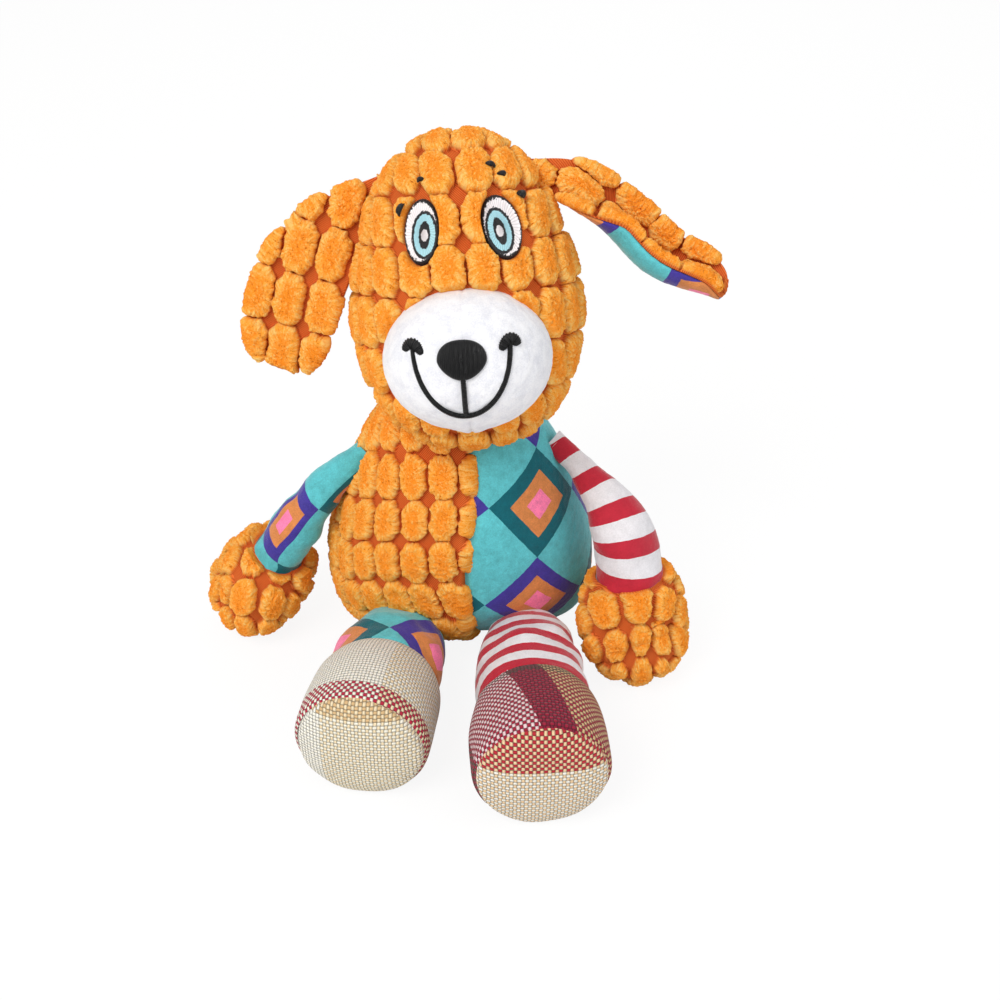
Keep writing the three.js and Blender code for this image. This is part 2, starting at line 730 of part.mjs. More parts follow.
// Where an ear turns: in the side seam, a little inside the pile
function earPivot(ear) {
  const halfWidth = HEAD.halfWidth * fromTable(HEAD_RING_SHARES, ear.rootLiftShare, 1);
  const out = halfWidth + CLOTH.pile - EAR.rootDepth;
  return new THREE.Vector3(ear.side * out, 0, ear.rootLiftShare * HEAD.halfHeight).applyMatrix4(toWorld);
}

function earSpine(ear, pivot) {
  const points = ear.spineShares.map((share) => new THREE.Vector3(...share).multiplyScalar(EAR.length).add(pivot));
  return new THREE.CatmullRomCurve3(points);
}

// One cross-section of an ear: a curled strip between two distances from its middle sheet.
function earRing(station, low, high) {
  const { centre, across, face, halfWidth, curl } = station;
  const spread = Array.from({ length: EAR_ACROSS }, (_, i) => 1 - (2 * i) / (EAR_ACROSS - 1));
  const pointAt = (place, distance) => {
    const angle = place * curl;
    const radius = halfWidth / curl;
    const normal = face.clone().multiplyScalar(Math.cos(angle)).addScaledVector(across, -Math.sin(angle));
    return centre
      .clone()
      .addScaledVector(across, radius * Math.sin(angle))
      .addScaledVector(face, radius * (1 - Math.cos(angle)))
      .addScaledVector(normal, distance);
  };
  const fullness = (place) => THREE.MathUtils.lerp(EAR_EDGE_SHARE, 1, 1 - place ** 4);
  const top = spread.map((place) => pointAt(place, high(fullness(place))));
  const bottom = spread.map((place) => pointAt(place, low(fullness(place)))).reverse();
  return [...top, ...bottom];
}

function earStations(ear, pivot) {
  const spine = earSpine(ear, pivot);
  const rootFace = headBack.clone().negate();
  const paddleFace = new THREE.Vector3(...ear.faceShares).normalize();
  const rootHalf = EAR.halfWidth * EAR_SHARES[0][1];
  const stations = [];
  const add = (at, before, halfWidth) => {
    const along = spine.getTangentAt(at);
    const [thick, bent] = [fromTable(EAR_SHARES, at, 2), fromTable(EAR_SHARES, at, 3)];
    const lean = rootFace.clone().lerp(paddleFace, bent);
    const face = lean.addScaledVector(along, -lean.dot(along)).normalize();
    const centre = spine.getPointAt(at).addScaledVector(along, -before);
    const curl = radians(FLAT_DEGREES + (ear.curlDegrees * bent) / 2);
    stations.push({ centre, across: face.clone().cross(along), face, halfWidth, thick, curl });
  };
  for (let i = 1; i <= ROUND_END_STEPS; i += 1) {
    const angle = radians((90 * i) / (ROUND_END_STEPS + 1));
    add(0, rootHalf * Math.cos(angle), rootHalf * Math.sin(angle));
  }
  for (let i = 0; i < EAR_STATIONS; i += 1) {
    const at = Math.sin((Math.PI * i) / (2 * (EAR_STATIONS - 1)));
    add(at, 0, EAR.halfWidth * fromTable(EAR_SHARES, at, 1));
  }
  return stations;
}

// The room in the side seam that an ear's root turns in
const rootThickness = EAR.plush * EAR_SHARES[0][2] + seamHalf + CLOTH.clearance;
function earSlot(pivot, radius) {
  const slot = new THREE.CylinderGeometry(radius, radius, 2 * rootThickness, ROUND_SIDES);
  slot.applyQuaternion(new THREE.Quaternion().setFromUnitVectors(Y, headBack));
  return solidOf(slot.translate(pivot.x, pivot.y, pivot.z));
}

const earJoints = [RIGHT_EAR, LEFT_EAR].map((ear) => {
  const pivot = earPivot(ear);
  return { ...ear, pivot, axis: headBack.clone().multiplyScalar(-ear.side) };
});
const slotRadius = EAR.halfWidth * EAR_SHARES[0][1] * EAR_SLOT_SHARE;
function slotsOf(radius) {
  return earJoints.map((joint) => earSlot(joint.pivot, radius)).reduce((all, slot) => all.add(slot));
}

const headObstacle = solidOf(swell(headForm.cloth, CLOTH.pile + CLOTH.swing)).subtract(slotsOf(slotRadius));
const earNames = ["right_ear", "left_ear"];
const liningColours = [COLOURS.stripe, COLOURS.aqua];
earJoints.forEach((joint, i) => {
  const stations = earStations(joint, joint.pivot);
  const plush = stations.map((station) =>
    earRing(station, () => seamHalf, (full) => seamHalf + EAR.plush * station.thick * full),
  );
  const lining = stations.map((station) =>
    earRing(station, (full) => -seamHalf - EAR.lining * station.thick * full, () => -seamHalf),
  );
  const group = groupAt(headGroup, joint.pivot);
  addPiece(group, `${earNames[i]}_plush`, trimmed(solidOf(loft(plush)), headObstacle, joint), COLOURS.plush);
  addPiece(group, `${earNames[i]}_lining`, trimmed(solidOf(loft(lining)), headObstacle, joint), liningColours[i], 0.8);
});

// Head pieces
const headCuts = slotsOf(slotRadius / Math.cos(Math.PI / ROUND_SIDES)).add(neckRoom);
const muzzleRoom = solidOf(swell(muzzleForm.cloth, CLOTH.clearance));
const eyeRoom = EYES.map((eye) => throughFace(eyeShape(eye, CLOTH.clearance)))
  .reduce((all, room) => all.add(room))
  .subtract(solidOf(headForm.cloth));
const headSeam = new THREE.Vector3().applyMatrix4(toWorld);
const [headFront, headRear] = parted(plushSkinOf(headForm).subtract(headCuts), headSeam, headBack);
addPiece(headGroup, "head_front_skin", largest(headFront.subtract(muzzleRoom).subtract(eyeRoom)), COLOURS.plush);
addPiece(headGroup, "head_back_skin", largest(headRear), COLOURS.plush);
const muzzleSkin = skinOf(muzzleForm, 0).subtract(solidOf(swell(headForm.core, -CLOTH.thickness)));
addPiece(headGroup, "muzzle_skin", largest(muzzleSkin), COLOURS.whitePile);
const headFilling = fillingOf(headForm).add(fillingOf(muzzleForm)).subtract(headCuts);
addPiece(headGroup, "head_stuffing", headFilling, COLOURS.filling);

// Embroidered face
for (const eye of EYES) {
  const patch = throughFace(eyeShape(eye, 0)).intersect(stitchedOn(headForm, EYE.thickness));
  addPiece(headGroup, eye.name, largest(patch), COLOURS.paleBlue, 0.6);
}

const noseLift = NOSE.lift - MUZZLE.drop;
const noseShape = new THREE.Shape();
noseShape.moveTo(0, noseLift - NOSE.halfHeight);
for (const stretch of NOSE_STRETCH_SHARES) {
  const place = stretch.map((share, i) => (i % 2 ? noseLift + share * NOSE.halfHeight : share * NOSE.halfWidth));
  noseShape.bezierCurveTo(...place);
}
const nosePad = throughFace(noseShape).intersect(stitchedOn(muzzleForm, NOSE.thickness));
addPiece(headGroup, "nose_pad", largest(nosePad), COLOURS.black, 0.5);

// The smile: half an oval of stitching with a dimple at each end, and a line up to the nose
const smileLift = noseLift + MOUTH.rise;
const smileEdge = (offset) =>
  Array.from({ length: MOUTH_STEPS + 1 }, (_, i) => {
    const angle = Math.PI * (1 + i / MOUTH_STEPS);
    return new THREE.Vector2(
      (MOUTH.halfWidth + offset) * Math.cos(angle),
      smileLift + (MOUTH.drop + offset) * Math.sin(angle),
    );
  });
const smile = new THREE.Shape([...smileEdge(MOUTH.line / 2), ...smileEdge(-MOUTH.line / 2).reverse()]);
const upLine = new THREE.Shape([
  new THREE.Vector2(-MOUTH.line / 2, smileLift - MOUTH.drop),
  new THREE.Vector2(MOUTH.line / 2, smileLift - MOUTH.drop),
  new THREE.Vector2(MOUTH.line / 2, noseLift - NOSE.halfHeight - CLOTH.clearance),
  new THREE.Vector2(-MOUTH.line / 2, noseLift - NOSE.halfHeight - CLOTH.clearance),
]);
const dimples = [-1, 1].map((side) => {
  const shape = new THREE.Shape();
  shape.absellipse(side * MOUTH.halfWidth, smileLift, MOUTH.dimple, MOUTH.dimple / 2, 0, 2 * Math.PI);
  return shape;
});
const mouthLines = [smile, upLine, ...dimples].map(throughFace).reduce((all, line) => all.add(line));
const mouth = mouthLines.intersect(stitchedOn(muzzleForm, MOUTH.thickness));
addPiece(headGroup, "mouth_stitch", largest(mouth), COLOURS.black, 0.5);

// What the limbs swing past: the body with its rooms cut out, on the plush side and on the print side
const bodyObstacle = (pile) => solidOf(swell(bodyForm.cloth, pile + CLOTH.swing)).subtract(limbRooms(ballAt, 0));
const obstacles = new Map([
  [-1, bodyObstacle(CLOTH.pile)],
  [1, bodyObstacle(0)],
]);

function headingOf(degrees) {
  return new THREE.Vector3(Math.cos(radians(degrees)), Math.sin(radians(degrees)), 0);
}

// Arms
const handLift = HAND.halfDepth + CLOTH.pile - CLOTH.floorCut;
function addArm(arm, name, colour) {
  const pivot = armPivot(arm);
  const heading = headingOf(arm.headingDegrees);
  const drop = Math.min(pivot.z - handLift, ARM_DROP_SHARE * ARM.reach);
  const out = Math.sqrt(ARM.reach ** 2 - drop ** 2);
  const palm = pivot.clone().addScaledVector(heading, out).addScaledVector(Z, -drop);
  const bow = new THREE.Vector3(...arm.bowShares).multiplyScalar(ARM.reach);
  const knots = [1 / 3, 2 / 3].map((share) => pivot.clone().lerp(palm, share).add(bow));
  const tip = palm.clone().addScaledVector(headingOf(arm.tipHeadingDegrees), HAND.pastCentre);
  tip.z -= HAND.droop;
  const spine = new THREE.CatmullRomCurve3([pivot, ...knots, palm, tip]);
  const rows = [
    ...SLEEVE_RING_SHARES.map(([at, w, d]) => [at, w * ARM.halfWidth, d * ARM.halfDepth]),
    ...HAND_RING_SHARES.map(([at, w, d]) => [at, w * HAND.halfWidth, d * HAND.halfDepth]),
  ];
  const form = limbForm(spine, ARM.rootRadius, rows);
  const joint = { ...arm, pivot, axis: heading.clone().cross(Z) };
  const wrist = spine.getPointAt(WRIST_SHARE);
  const way = spine.getTangentAt(WRIST_SHARE);
  const obstacle = obstacles.get(arm.side);
  const [sleeve] = parted(skinOf(form, 0), wrist, way);
  const [, hand] = parted(skinOf(form, CLOTH.pile), wrist, way);
  const group = groupAt(root, pivot);
  addPiece(group, `${name}_sleeve`, trimmed(sleeve.subtract(floor), obstacle, joint), colour, 0.8);
  addPiece(group, `${name}_hand`, largest(hand.subtract(floor)), COLOURS.plush);
  addPiece(group, `${name}_stuffing`, trimmed(fillingOf(form), obstacle, joint), COLOURS.filling);
}

addArm(RIGHT_ARM, "right_arm", COLOURS.aqua);
addArm(LEFT_ARM, "left_arm", COLOURS.stripe);

// Legs
const footLift = FOOT.halfDepth - CLOTH.floorCut;
function addLeg(leg, name, legColour, footColour) {
  const pivot = hipPivot(leg);
  const heading = headingOf(leg.headingDegrees);
  const legLength = leg.lengthShare * LEG.length;
  const total = legLength + FOOT.length;
  const at = (distance) => pivot.clone().addScaledVector(heading, distance);
  const ankle = at(legLength);
  ankle.z = footLift * ANKLE_LIFT_SHARE;
  const [instep, toe] = [at(legLength + FOOT.length / 2), at(total)];
  instep.z = footLift;
  toe.z = footLift;
  const spine = new THREE.CatmullRomCurve3([pivot, ankle, instep, toe]);
  const legRows = LEG_RING_SHARES.map(([share, w, d]) => {
    return [(share * legLength) / total, w * LEG.halfWidth, d * LEG.halfDepth];
  });
  const footRows = FOOT_RING_SHARES.map(([share, w, d]) => {
    return [(legLength + share * FOOT.length) / total, w * FOOT.halfWidth, d * FOOT.halfDepth];
  });
  const form = limbForm(spine, LEG.hipRadius, [...legRows, ...footRows]);
  const joint = { ...LEG_RANGE, pivot, axis: heading.clone().cross(Z) };
  const [cuffShare, toeShare] = [legLength / total, (total - FOOT.soleLength) / total];
  const [legSkin, foot] = parted(skinOf(form, 0), spine.getPointAt(cuffShare), spine.getTangentAt(cuffShare));
  const [upper, sole] = parted(foot, spine.getPointAt(toeShare), spine.getTangentAt(toeShare));
  const group = groupAt(root, pivot);
  const obstacle = obstacles.get(leg.side);
  addPiece(group, `${name}_skin`, trimmed(legSkin.subtract(floor), obstacle, joint), legColour, 0.8);
  addPiece(group, `${name}_foot_upper`, trimmed(upper.subtract(floor), obstacle, joint), footColour);
  addPiece(group, `${name}_foot_sole`, largest(sole.subtract(floor)), COLOURS.linen);
  addPiece(group, `${name}_stuffing`, trimmed(fillingOf(form), obstacle, joint), COLOURS.filling);
}

addLeg(RIGHT_LEG, "right_leg", COLOURS.aqua, COLOURS.linen);
addLeg(LEFT_LEG, "left_leg", COLOURS.stripe, COLOURS.tweed);

export default root;
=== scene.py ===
"""A squeaky plush dog that sits up: tufted pile, printed and striped cloth, woven feet and stitching.

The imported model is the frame. Every cloth form here covers or replaces a soft solid of it and rides on
the same body. Sizes are in millimetres, as the frame's are, and leave them by a few where the cloth of
the arms, the ears and the muzzle lies more closely as photographed.
"""

from __future__ import annotations

import json
import logging
import math
from collections.abc import Callable, Sequence
from dataclasses import dataclass, field
from enum import Enum
from itertools import product

import bpy
import numpy as np
from mathutils import Matrix, Vector

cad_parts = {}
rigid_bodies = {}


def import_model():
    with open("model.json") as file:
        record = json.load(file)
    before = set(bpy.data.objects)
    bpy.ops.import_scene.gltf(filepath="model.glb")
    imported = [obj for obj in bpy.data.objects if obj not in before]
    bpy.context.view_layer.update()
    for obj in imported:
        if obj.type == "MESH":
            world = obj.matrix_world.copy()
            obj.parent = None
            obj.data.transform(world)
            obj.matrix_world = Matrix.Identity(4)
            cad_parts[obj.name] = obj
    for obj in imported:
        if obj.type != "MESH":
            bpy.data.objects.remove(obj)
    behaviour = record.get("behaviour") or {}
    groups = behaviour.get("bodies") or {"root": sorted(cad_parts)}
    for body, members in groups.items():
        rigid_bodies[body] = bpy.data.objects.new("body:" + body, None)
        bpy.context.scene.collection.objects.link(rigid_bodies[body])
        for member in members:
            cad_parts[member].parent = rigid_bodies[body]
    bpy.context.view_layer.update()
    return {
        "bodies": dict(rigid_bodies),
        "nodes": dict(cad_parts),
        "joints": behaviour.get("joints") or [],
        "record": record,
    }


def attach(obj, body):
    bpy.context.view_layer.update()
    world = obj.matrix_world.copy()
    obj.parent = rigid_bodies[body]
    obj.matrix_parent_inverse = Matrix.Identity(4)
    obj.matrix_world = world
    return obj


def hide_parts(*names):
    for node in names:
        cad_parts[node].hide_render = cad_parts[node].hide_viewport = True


log = logging.getLogger("plush_dog")

MM = 0.001
CLOTH_MAP = "cloth_mm"
PILE = "pile"
FLUFF = "fluff"
MIDDLE = "tuft_middle"
TUFT_X, TUFT_Y = "tuft_x", "tuft_y"

# The least half width of a form, in millimetres, and how near points are welded, in metres
THINNEST = 0.02
WELD = 2e-5

# How far apart the points of each kind of cloth lie, in millimetres
PILE_SPACING, CLOTH_SPACING, WEAVE_SPACING, FILLING_SPACING = 0.42, 0.7, 0.6, 1.6

Pair = tuple[float, float]
Triple = tuple[float, float, float]
Colour = tuple[float, float, float, float]
Array = np.ndarray
Piece = bpy.types.Object
Material = bpy.types.Material

# What the fixed random numbers are stirred with
HASH_START = 374761393
HASH_PRIMES = (668265263, 2246822519, 3266489917)
HASH_STIR = 1274126177
LOW_32_BITS, LOW_16_BITS = 0xFFFFFFFF, 0xFFFF


class Side(Enum):
    """The dog's own right and left, as a sign along X."""

    RIGHT = -1
    LEFT = 1

    @property
    def label(self) -> str:
        """The word that the frame's names start with."""
        return self.name.lower()


# Numbers in the plane and in space


def srgb(red: float, green: float, blue: float) -> Colour:
    """Turns a colour as the eye sees it into the light values that a shader takes.

    Args:
        red: From 0 to 255, as are the others.
        green: The second channel.
        blue: The third channel.

    Returns:
        The colour with an alpha of 1.
    """

    def linear(value: float) -> float:
        """One channel's light value."""
        share = value / 255
        return share / 12.92 if share <= 0.04045 else ((share + 0.055) / 1.055) ** 2.4

    return (linear(red), linear(green), linear(blue), 1.0)


def smooth(low: float, high: float, value: Array) -> Array:
    """A soft step from 0 at low to 1 at high."""
    share = np.clip((value - low) / (high - low), 0, 1)
    return share * share * (3 - 2 * share)


def unit(vectors: Array) -> Array:
    """The vectors at a length of 1, or as they are where they have none."""
    length = np.linalg.norm(vectors, axis=-1, keepdims=True)
    return vectors / np.where(length < 1e-9, 1, length)


def chance(*cells: Array, seed: int = 0) -> Array:
    """A fixed random number from 0 to 1 for each cell of a lattice.

    Args:
        cells: Whole numbers, one array for each direction.
        seed: Which of the many patterns.

    Returns:
        An array shaped as the cells are.
    """
    mixed = np.full(np.shape(cells[0]), HASH_START * (seed + 1), dtype=np.uint64)
    for prime, cell in zip(HASH_PRIMES, cells):
        mixed ^= np.asarray(cell).astype(np.int64).astype(np.uint64) * np.uint64(prime)
        mixed = (mixed ^ (mixed >> np.uint64(13))) * np.uint64(HASH_STIR)
        mixed &= np.uint64(LOW_32_BITS)
    mixed ^= mixed >> np.uint64(16)
    return (mixed & np.uint64(LOW_16_BITS)).astype(float) / LOW_16_BITS


def grain(points: Array, size: float, seed: int = 0) -> Array:
    """Smooth random lumps in space, from -1 to 1.

    Args:
        points: Places in millimetres.
        size: How wide a lump is.
        seed: Which of the many patterns.

    Returns:
        One value for each point.
    """
    scaled = points / size
    cell = np.floor(scaled)
    part = scaled - cell
    part = part * part * (3 - 2 * part)
    total = np.zeros(points.shape[:-1])
    for corner in product((0, 1), repeat=3):
        sides = [part[..., i] if step else 1 - part[..., i] for i, step in enumerate(corner)]
        places = [cell[..., i] + step for i, step in enumerate(corner)]
        total += np.prod(sides, axis=0) * chance(*places, seed=seed)
    return 2 * total - 1


def clumps(points: Array, size: float, seed: int = 0, contrast: float = 2.2) -> Array:
    """Rounded clumps with creases between them, as brushed pile has.

    Args:
        points: Places in millimetres.
        size: How wide a clump is.
        seed: Which of the many patterns.
        contrast: How steeply the clumps rise from their creases.

    Returns:
        One value for each point, from 0 in a crease to 1 on top of a clump.
    """
    scaled = points / size
    cell = np.floor(scaled)
    nearest = np.full(points.shape[:-1], np.inf)
    second = nearest.copy()
    for step in product((-1, 0, 1), repeat=3):
        beside = cell + np.array(step)
        parts = [beside[..., i] for i in range(3)]
        heart = beside + np.stack([chance(*parts, seed=seed + i) for i in range(3)], axis=-1)
        away = np.linalg.norm(heart - scaled, axis=-1)
        second = np.minimum(second, np.maximum(away, nearest))
        nearest = np.minimum(nearest, away)
    return np.clip((second - nearest) * contrast, 0, 1)


def curve_through(points: Sequence[Sequence[float]], steps: int = 48) -> Array:
    """Samples a centripetal Catmull-Rom curve, the kind that the frame's spines follow.

    Args:
        points: What the curve passes through.
        steps: How many samples lie between two of them.

    Returns:
        The samples, one row each.
    """
    knots = np.asarray(points, dtype=float)
    knots = np.vstack([2 * knots[0] - knots[1], knots, 2 * knots[-1] - knots[-2]])
    share = np.linspace(0, 1, steps, endpoint=False)[:, None]
    parts = []
    for before, start, end, after in zip(knots, knots[1:], knots[2:], knots[3:]):
        gaps = (start - before, end - start, after - end)
        first, middle, last = (max(float(np.linalg.norm(gap)) ** 0.5, 1e-4) for gap in gaps)
        leave = (start - before) / first - (end - before) / (first + middle) + (end - start) / middle
        arrive = (end - start) / middle - (after - start) / (middle + last) + (after - end) / last
        leave, arrive = leave * middle, arrive * middle
        bend = -3 * start + 3 * end - 2 * leave - arrive
        twist = 2 * start - 2 * end + leave + arrive
        parts.append(start + leave * share + bend * share**2 + twist * share**3)
    return np.vstack([*parts, knots[-2][None]])


def at_shares(samples: Array, shares: Array) -> Array:
    """Reads a sampled curve at shares of its length."""
    run = np.concatenate([[0], np.cumsum(np.linalg.norm(np.diff(samples, axis=0), axis=1))])
    wanted = np.clip(shares, 0, 1) * run[-1]
    return np.stack([np.interp(wanted, run, samples[:, i]) for i in range(samples.shape[1])], axis=-1)


def length_of(samples: Array) -> float:
    """The length of a sampled curve."""
    return float(np.linalg.norm(np.diff(samples, axis=0), axis=1).sum())


# Sheets of cloth


@dataclass
class Sheet:
    """A surface before its pile is raised: a grid of places, with the cloth's own two directions.

    The grid's rows run along the piece and its columns across it. Places are in millimetres.
    """

    points: Array
    away: Array
    across: Array
    along: Array

    def normals(self) -> Array:
        """The directions that point out of the cloth."""
        rows, columns = np.gradient(self.points, axis=0), np.gradient(self.points, axis=1)
        normal = np.cross(columns, rows)
        flat = np.linalg.norm(normal, axis=-1, keepdims=True) < 1e-7
        normal = np.where(flat, self.away, normal)
        turned = np.sum(normal * self.away, axis=-1, keepdims=True) < 0
        return unit(np.where(turned, -normal, normal))

    def lifted(self, height: Array) -> Array:
        """The places that lie at a height above the cloth."""
        return self.points + self.normals() * height[..., None]

    def tangents(self) -> tuple[Array, Array]:
        """The directions of the cloth's columns and rows."""
        return unit(np.gradient(self.points, axis=1)), unit(np.gradient(self.points, axis=0))


def run_along(points: Array, axis: int) -> Array:
    """How far each point of a grid lies from the grid's start, measured on the surface."""
    steps = np.linalg.norm(np.diff(points, axis=axis), axis=-1)
    pad = [(0, 0), (0, 0)]
    pad[axis] = (1, 0)
    return np.cumsum(np.pad(steps, pad), axis=axis)


def lay_cloth(points: Array) -> tuple[Array, Array]:
    """The cloth's own directions on a grid: across from its middle column, and along that column."""
    middle = points.shape[1] // 2
    across = run_along(points, 1)
    along = np.broadcast_to(run_along(points, 0)[:, middle : middle + 1], across.shape)
    return across - across[:, middle : middle + 1], along


def on_floor(points: Array, rest: float = 0.05) -> Array:
    """The points with none below the floor, where the weight of the toy flattens them."""
    settled = points.copy()
    settled[..., 2] = np.maximum(settled[..., 2], rest)
    return settled


def sewn(
    name: str, sheet: Sheet, points: Array, looks: dict[str, Array] | None = None, closed: bool = False
) -> Piece:
    """Adds a grid and moves its points to where a sheet lies.

    Args:
        name: What the piece is called.
        sheet: The surface, for its outward side and its cloth directions.
        points: Where the grid's points end up, in millimetres.
        looks: Values at each point that the finish reads, by name.
        closed: Whether the first and last columns are one.

    Returns:
        The piece, at the origin, smooth shaded.
    """
    rows, columns = points.shape[:2]
    bpy.ops.object.select_all(action="DESELECT")
    bpy.ops.mesh.primitive_grid_add(
        x_subdivisions=columns - 1, y_subdivisions=rows - 1, size=1, location=(0, 0, 0)
    )
    piece = bpy.context.object
    piece.name = name
    mesh = piece.data
    mesh.name = name
    mesh.vertices.foreach_set("co", (points.reshape(-1, 3) * MM).ravel())
    corners = np.empty(len(mesh.loops), dtype=np.int64)
    mesh.loops.foreach_get("vertex_index", corners)
    cloth = np.stack([sheet.across, sheet.along], axis=-1).reshape(-1, 2)[corners]
    mesh.uv_layers[0].name = CLOTH_MAP
    mesh.uv_layers[0].data.foreach_set("uv", cloth.ravel())
    for key, values in (looks or {}).items():
        attribute = mesh.attributes.new(key, "FLOAT", "POINT")
        attribute.data.foreach_set("value", values.ravel().astype(np.float32))
    mesh.update()
    facing = np.cross(np.gradient(sheet.points, axis=1), np.gradient(sheet.points, axis=0))
    bpy.ops.object.mode_set(mode="EDIT")
    bpy.ops.mesh.select_all(action="SELECT")
    if np.sum(facing * sheet.away) < 0:
        bpy.ops.mesh.flip_normals()
    if closed:
        bpy.ops.mesh.remove_doubles(threshold=WELD)
    bpy.ops.object.mode_set(mode="OBJECT")
    bpy.ops.object.shade_smooth()
    return piece


@dataclass(frozen=True)
class Brushed:
    """How brushed pile frays, clumps and leans, in millimetres and in shares of its height."""

    frays: tuple[Pair, Pair] = ((0.45, 2.1), (0.4, 0.9))
    standing_from: float = 0.08
    standing_at: float = 0.5
    clump_size: float = 1.3
    clump_depth: float = 0.35
    clump_share: float = 0.4
    fan_squeeze: float = 1.4
    fan_turns: float = 5.2
    fan_reach: float = 0.5
    comb_size: float = 0.62
    comb_share: float = 0.3
    speck_size: float = 0.7
    speck_share: float = 0.3
    lift: float = 1.15
    level: float = 0.55
    swell: float = 0.4
    swell_size: float = 3.4
    edge_lean: float = 0.75
    tip_lean: float = 0.35

    def frayed(self, points: Array, seed: int) -> Array:
        """How far the pile's edge strays, in a wide and a fine wave."""
        wide, fine = (depth * grain(points, size, seed + i) for i, (depth, size) in enumerate(self.frays))
        return wide + fine

    def fluff(self, sheet: Sheet, x: Array, y: Array, rise: Array, tuft: Array, seed: int) -> Array:
        """How far the fibres stand up in their clumps.

        Args:
            sheet: The bare cloth.
            x: Places across, from the middle of their tuft.
            y: Places along, from the middle of their tuft.
            rise: How far up its tuft's side each place lies, from 0 to 1.
            tuft: A number for each tuft.
            seed: Which of the many patterns.

        Returns:
            About 0 in a crease and 1 on a clump.
        """
        turn = np.arctan2(y, x * self.fan_squeeze) * self.fan_turns
        fan = np.stack([turn, np.hypot(x, y) * self.fan_reach, tuft], axis=-1)
        comb = 0.5 + 0.5 * grain(fan, self.comb_size, seed + 3)
        risen = sheet.points + self.clump_depth * sheet.normals() * rise[..., None]
        clump = clumps(risen, self.clump_size, seed + 2)
        speck = 0.5 + 0.5 * grain(sheet.points, self.speck_size, seed + 5)
        return self.clump_share * clump + self.comb_share * comb + self.speck_share * speck


@dataclass(frozen=True)
class TuftLayout:
    """Raised tufts in columns and rows on a twill ground, in millimetres.

    The stray and the luck are how far a tuft may leave its place and its size.
    """

    pitch_across: float
    pitch_along: float
    gap_across: float = 0.8
    gap_along: float = 0.5
    chamfer_across: float = 2.8
    chamfer_along: float = 3.7
    height: float = 4.1
    round_over: float = 1.8
    ground: float = 0.3
    start_across: float = 0.0
    start_along: float = 0.0
    shear: float = 0.0
    seed: int = 0
    stray_across: float = 0.8
    stray_along: float = 0.9
    stray_heart: float = 0.3
    width_luck: float = 0.07
    length_luck: float = 0.05
    height_luck: float = 0.2
    crown_share: float = 0.14
    middle_share: float = 0.8
    brushed: Brushed = Brushed()

    def _inside(self, x: Array, y: Array, half_x: Array, half_y: Array) -> Array:
        """How far inside its tuft's chamfered outline each place lies."""
        corner = half_x / self.chamfer_across + half_y / self.chamfer_along - 1
        slant = math.hypot(1 / self.chamfer_across, 1 / self.chamfer_along)
        cut = (abs(x) / self.chamfer_across + abs(y) / self.chamfer_along - corner) / slant
        return -np.maximum(np.maximum(abs(x) - half_x, abs(y) - half_y), cut)

    def raise_pile(self, sheet: Sheet, keep: Array | float = 1.0) -> tuple[Array, dict[str, Array]]:
        """Lifts the sheet's points into tufts.

        Args:
            sheet: The bare cloth.
            keep: How much of the pile stands at each point, from 0 to 1.

        Returns:
            The places of the points, and what their finish reads: the pile's height, its clumps, how
            near the middle of its tuft each place lies, and where in the tuft it lies.
        """
        columns = (sheet.across + self.shear * sheet.along) / self.pitch_across + self.start_across
        rows = sheet.along / self.pitch_along + self.start_along
        column, row = np.floor(columns), np.floor(rows)
        luck = [chance(column, row, seed=self.seed + i) - 0.5 for i in range(6)]
        x = (columns - column - 0.5) * self.pitch_across + self.stray_across * luck[0]
        y = (rows - row - 0.5) * self.pitch_along + self.stray_along * luck[1]
        half_x = (self.pitch_across - self.gap_across) / 2 * (1 + self.width_luck * luck[2])
        half_y = (self.pitch_along - self.gap_along) / 2 * (1 + self.length_luck * luck[3])

        brushed = self.brushed
        inside = self._inside(x, y, half_x, half_y) + brushed.frayed(sheet.points, self.seed)
        share = np.clip(inside / self.round_over, 0, 1)
        rise = np.sqrt(1 - (1 - share) ** 2)
        crown = np.clip(1 - (x / half_x) ** 2, 0, 1) * np.clip(1 - (y / half_y) ** 4, 0, 1)
        tall = self.height * (1 - self.crown_share * (1 - crown)) * (1 + self.height_luck * luck[4])
        fluff = brushed.fluff(sheet, x, y, rise, 3.7 * column + 1.3 * row, self.seed)
        swell = brushed.swell * grain(sheet.points, brushed.swell_size, self.seed + 7)
        standing = smooth(brushed.standing_from, brushed.standing_at, share)
        lift = (tall * rise + (brushed.lift * (fluff - brushed.level) + swell) * standing) * keep
        lean = brushed.edge_lean * rise * (1 - share) + brushed.tip_lean * (fluff - 0.5) * standing
        across, along = sheet.tangents()
        spread = across * (x / half_x)[..., None] + along * (y / half_y)[..., None]
        points = sheet.lifted(self.ground + lift) + spread * (lean * keep)[..., None]
        looks = {
            PILE: np.clip(tall * rise * keep / self.height, 0, 1),
            FLUFF: np.clip(fluff, 0, 1),
            MIDDLE: np.clip(inside / (self.middle_share * half_x), 0, 1),
            TUFT_X: x + self.stray_heart * luck[5],
            TUFT_Y: y,
        }
        return points, looks


def napped(
    sheet: Sheet, folds: Array | float = 0.0, nap: float = 0.1, seed: int = 40, swell: float = 0.35
) -> Array:
    """Lifts a short brushed cloth.

    Args:
        sheet: The bare cloth.
        folds: How far its folds lift each point, in millimetres.
        nap: How deep the unevenness of the nap is.
        seed: Which of the many patterns.
        swell: How deep the unevenness of the stuffing is.

    Returns:
        The places of the points.
    """
    uneven = swell * grain(sheet.points, 14, seed) + nap * grain(sheet.points, 1.4, seed + 1)
    return sheet.lifted(uneven + folds)


# Finishes


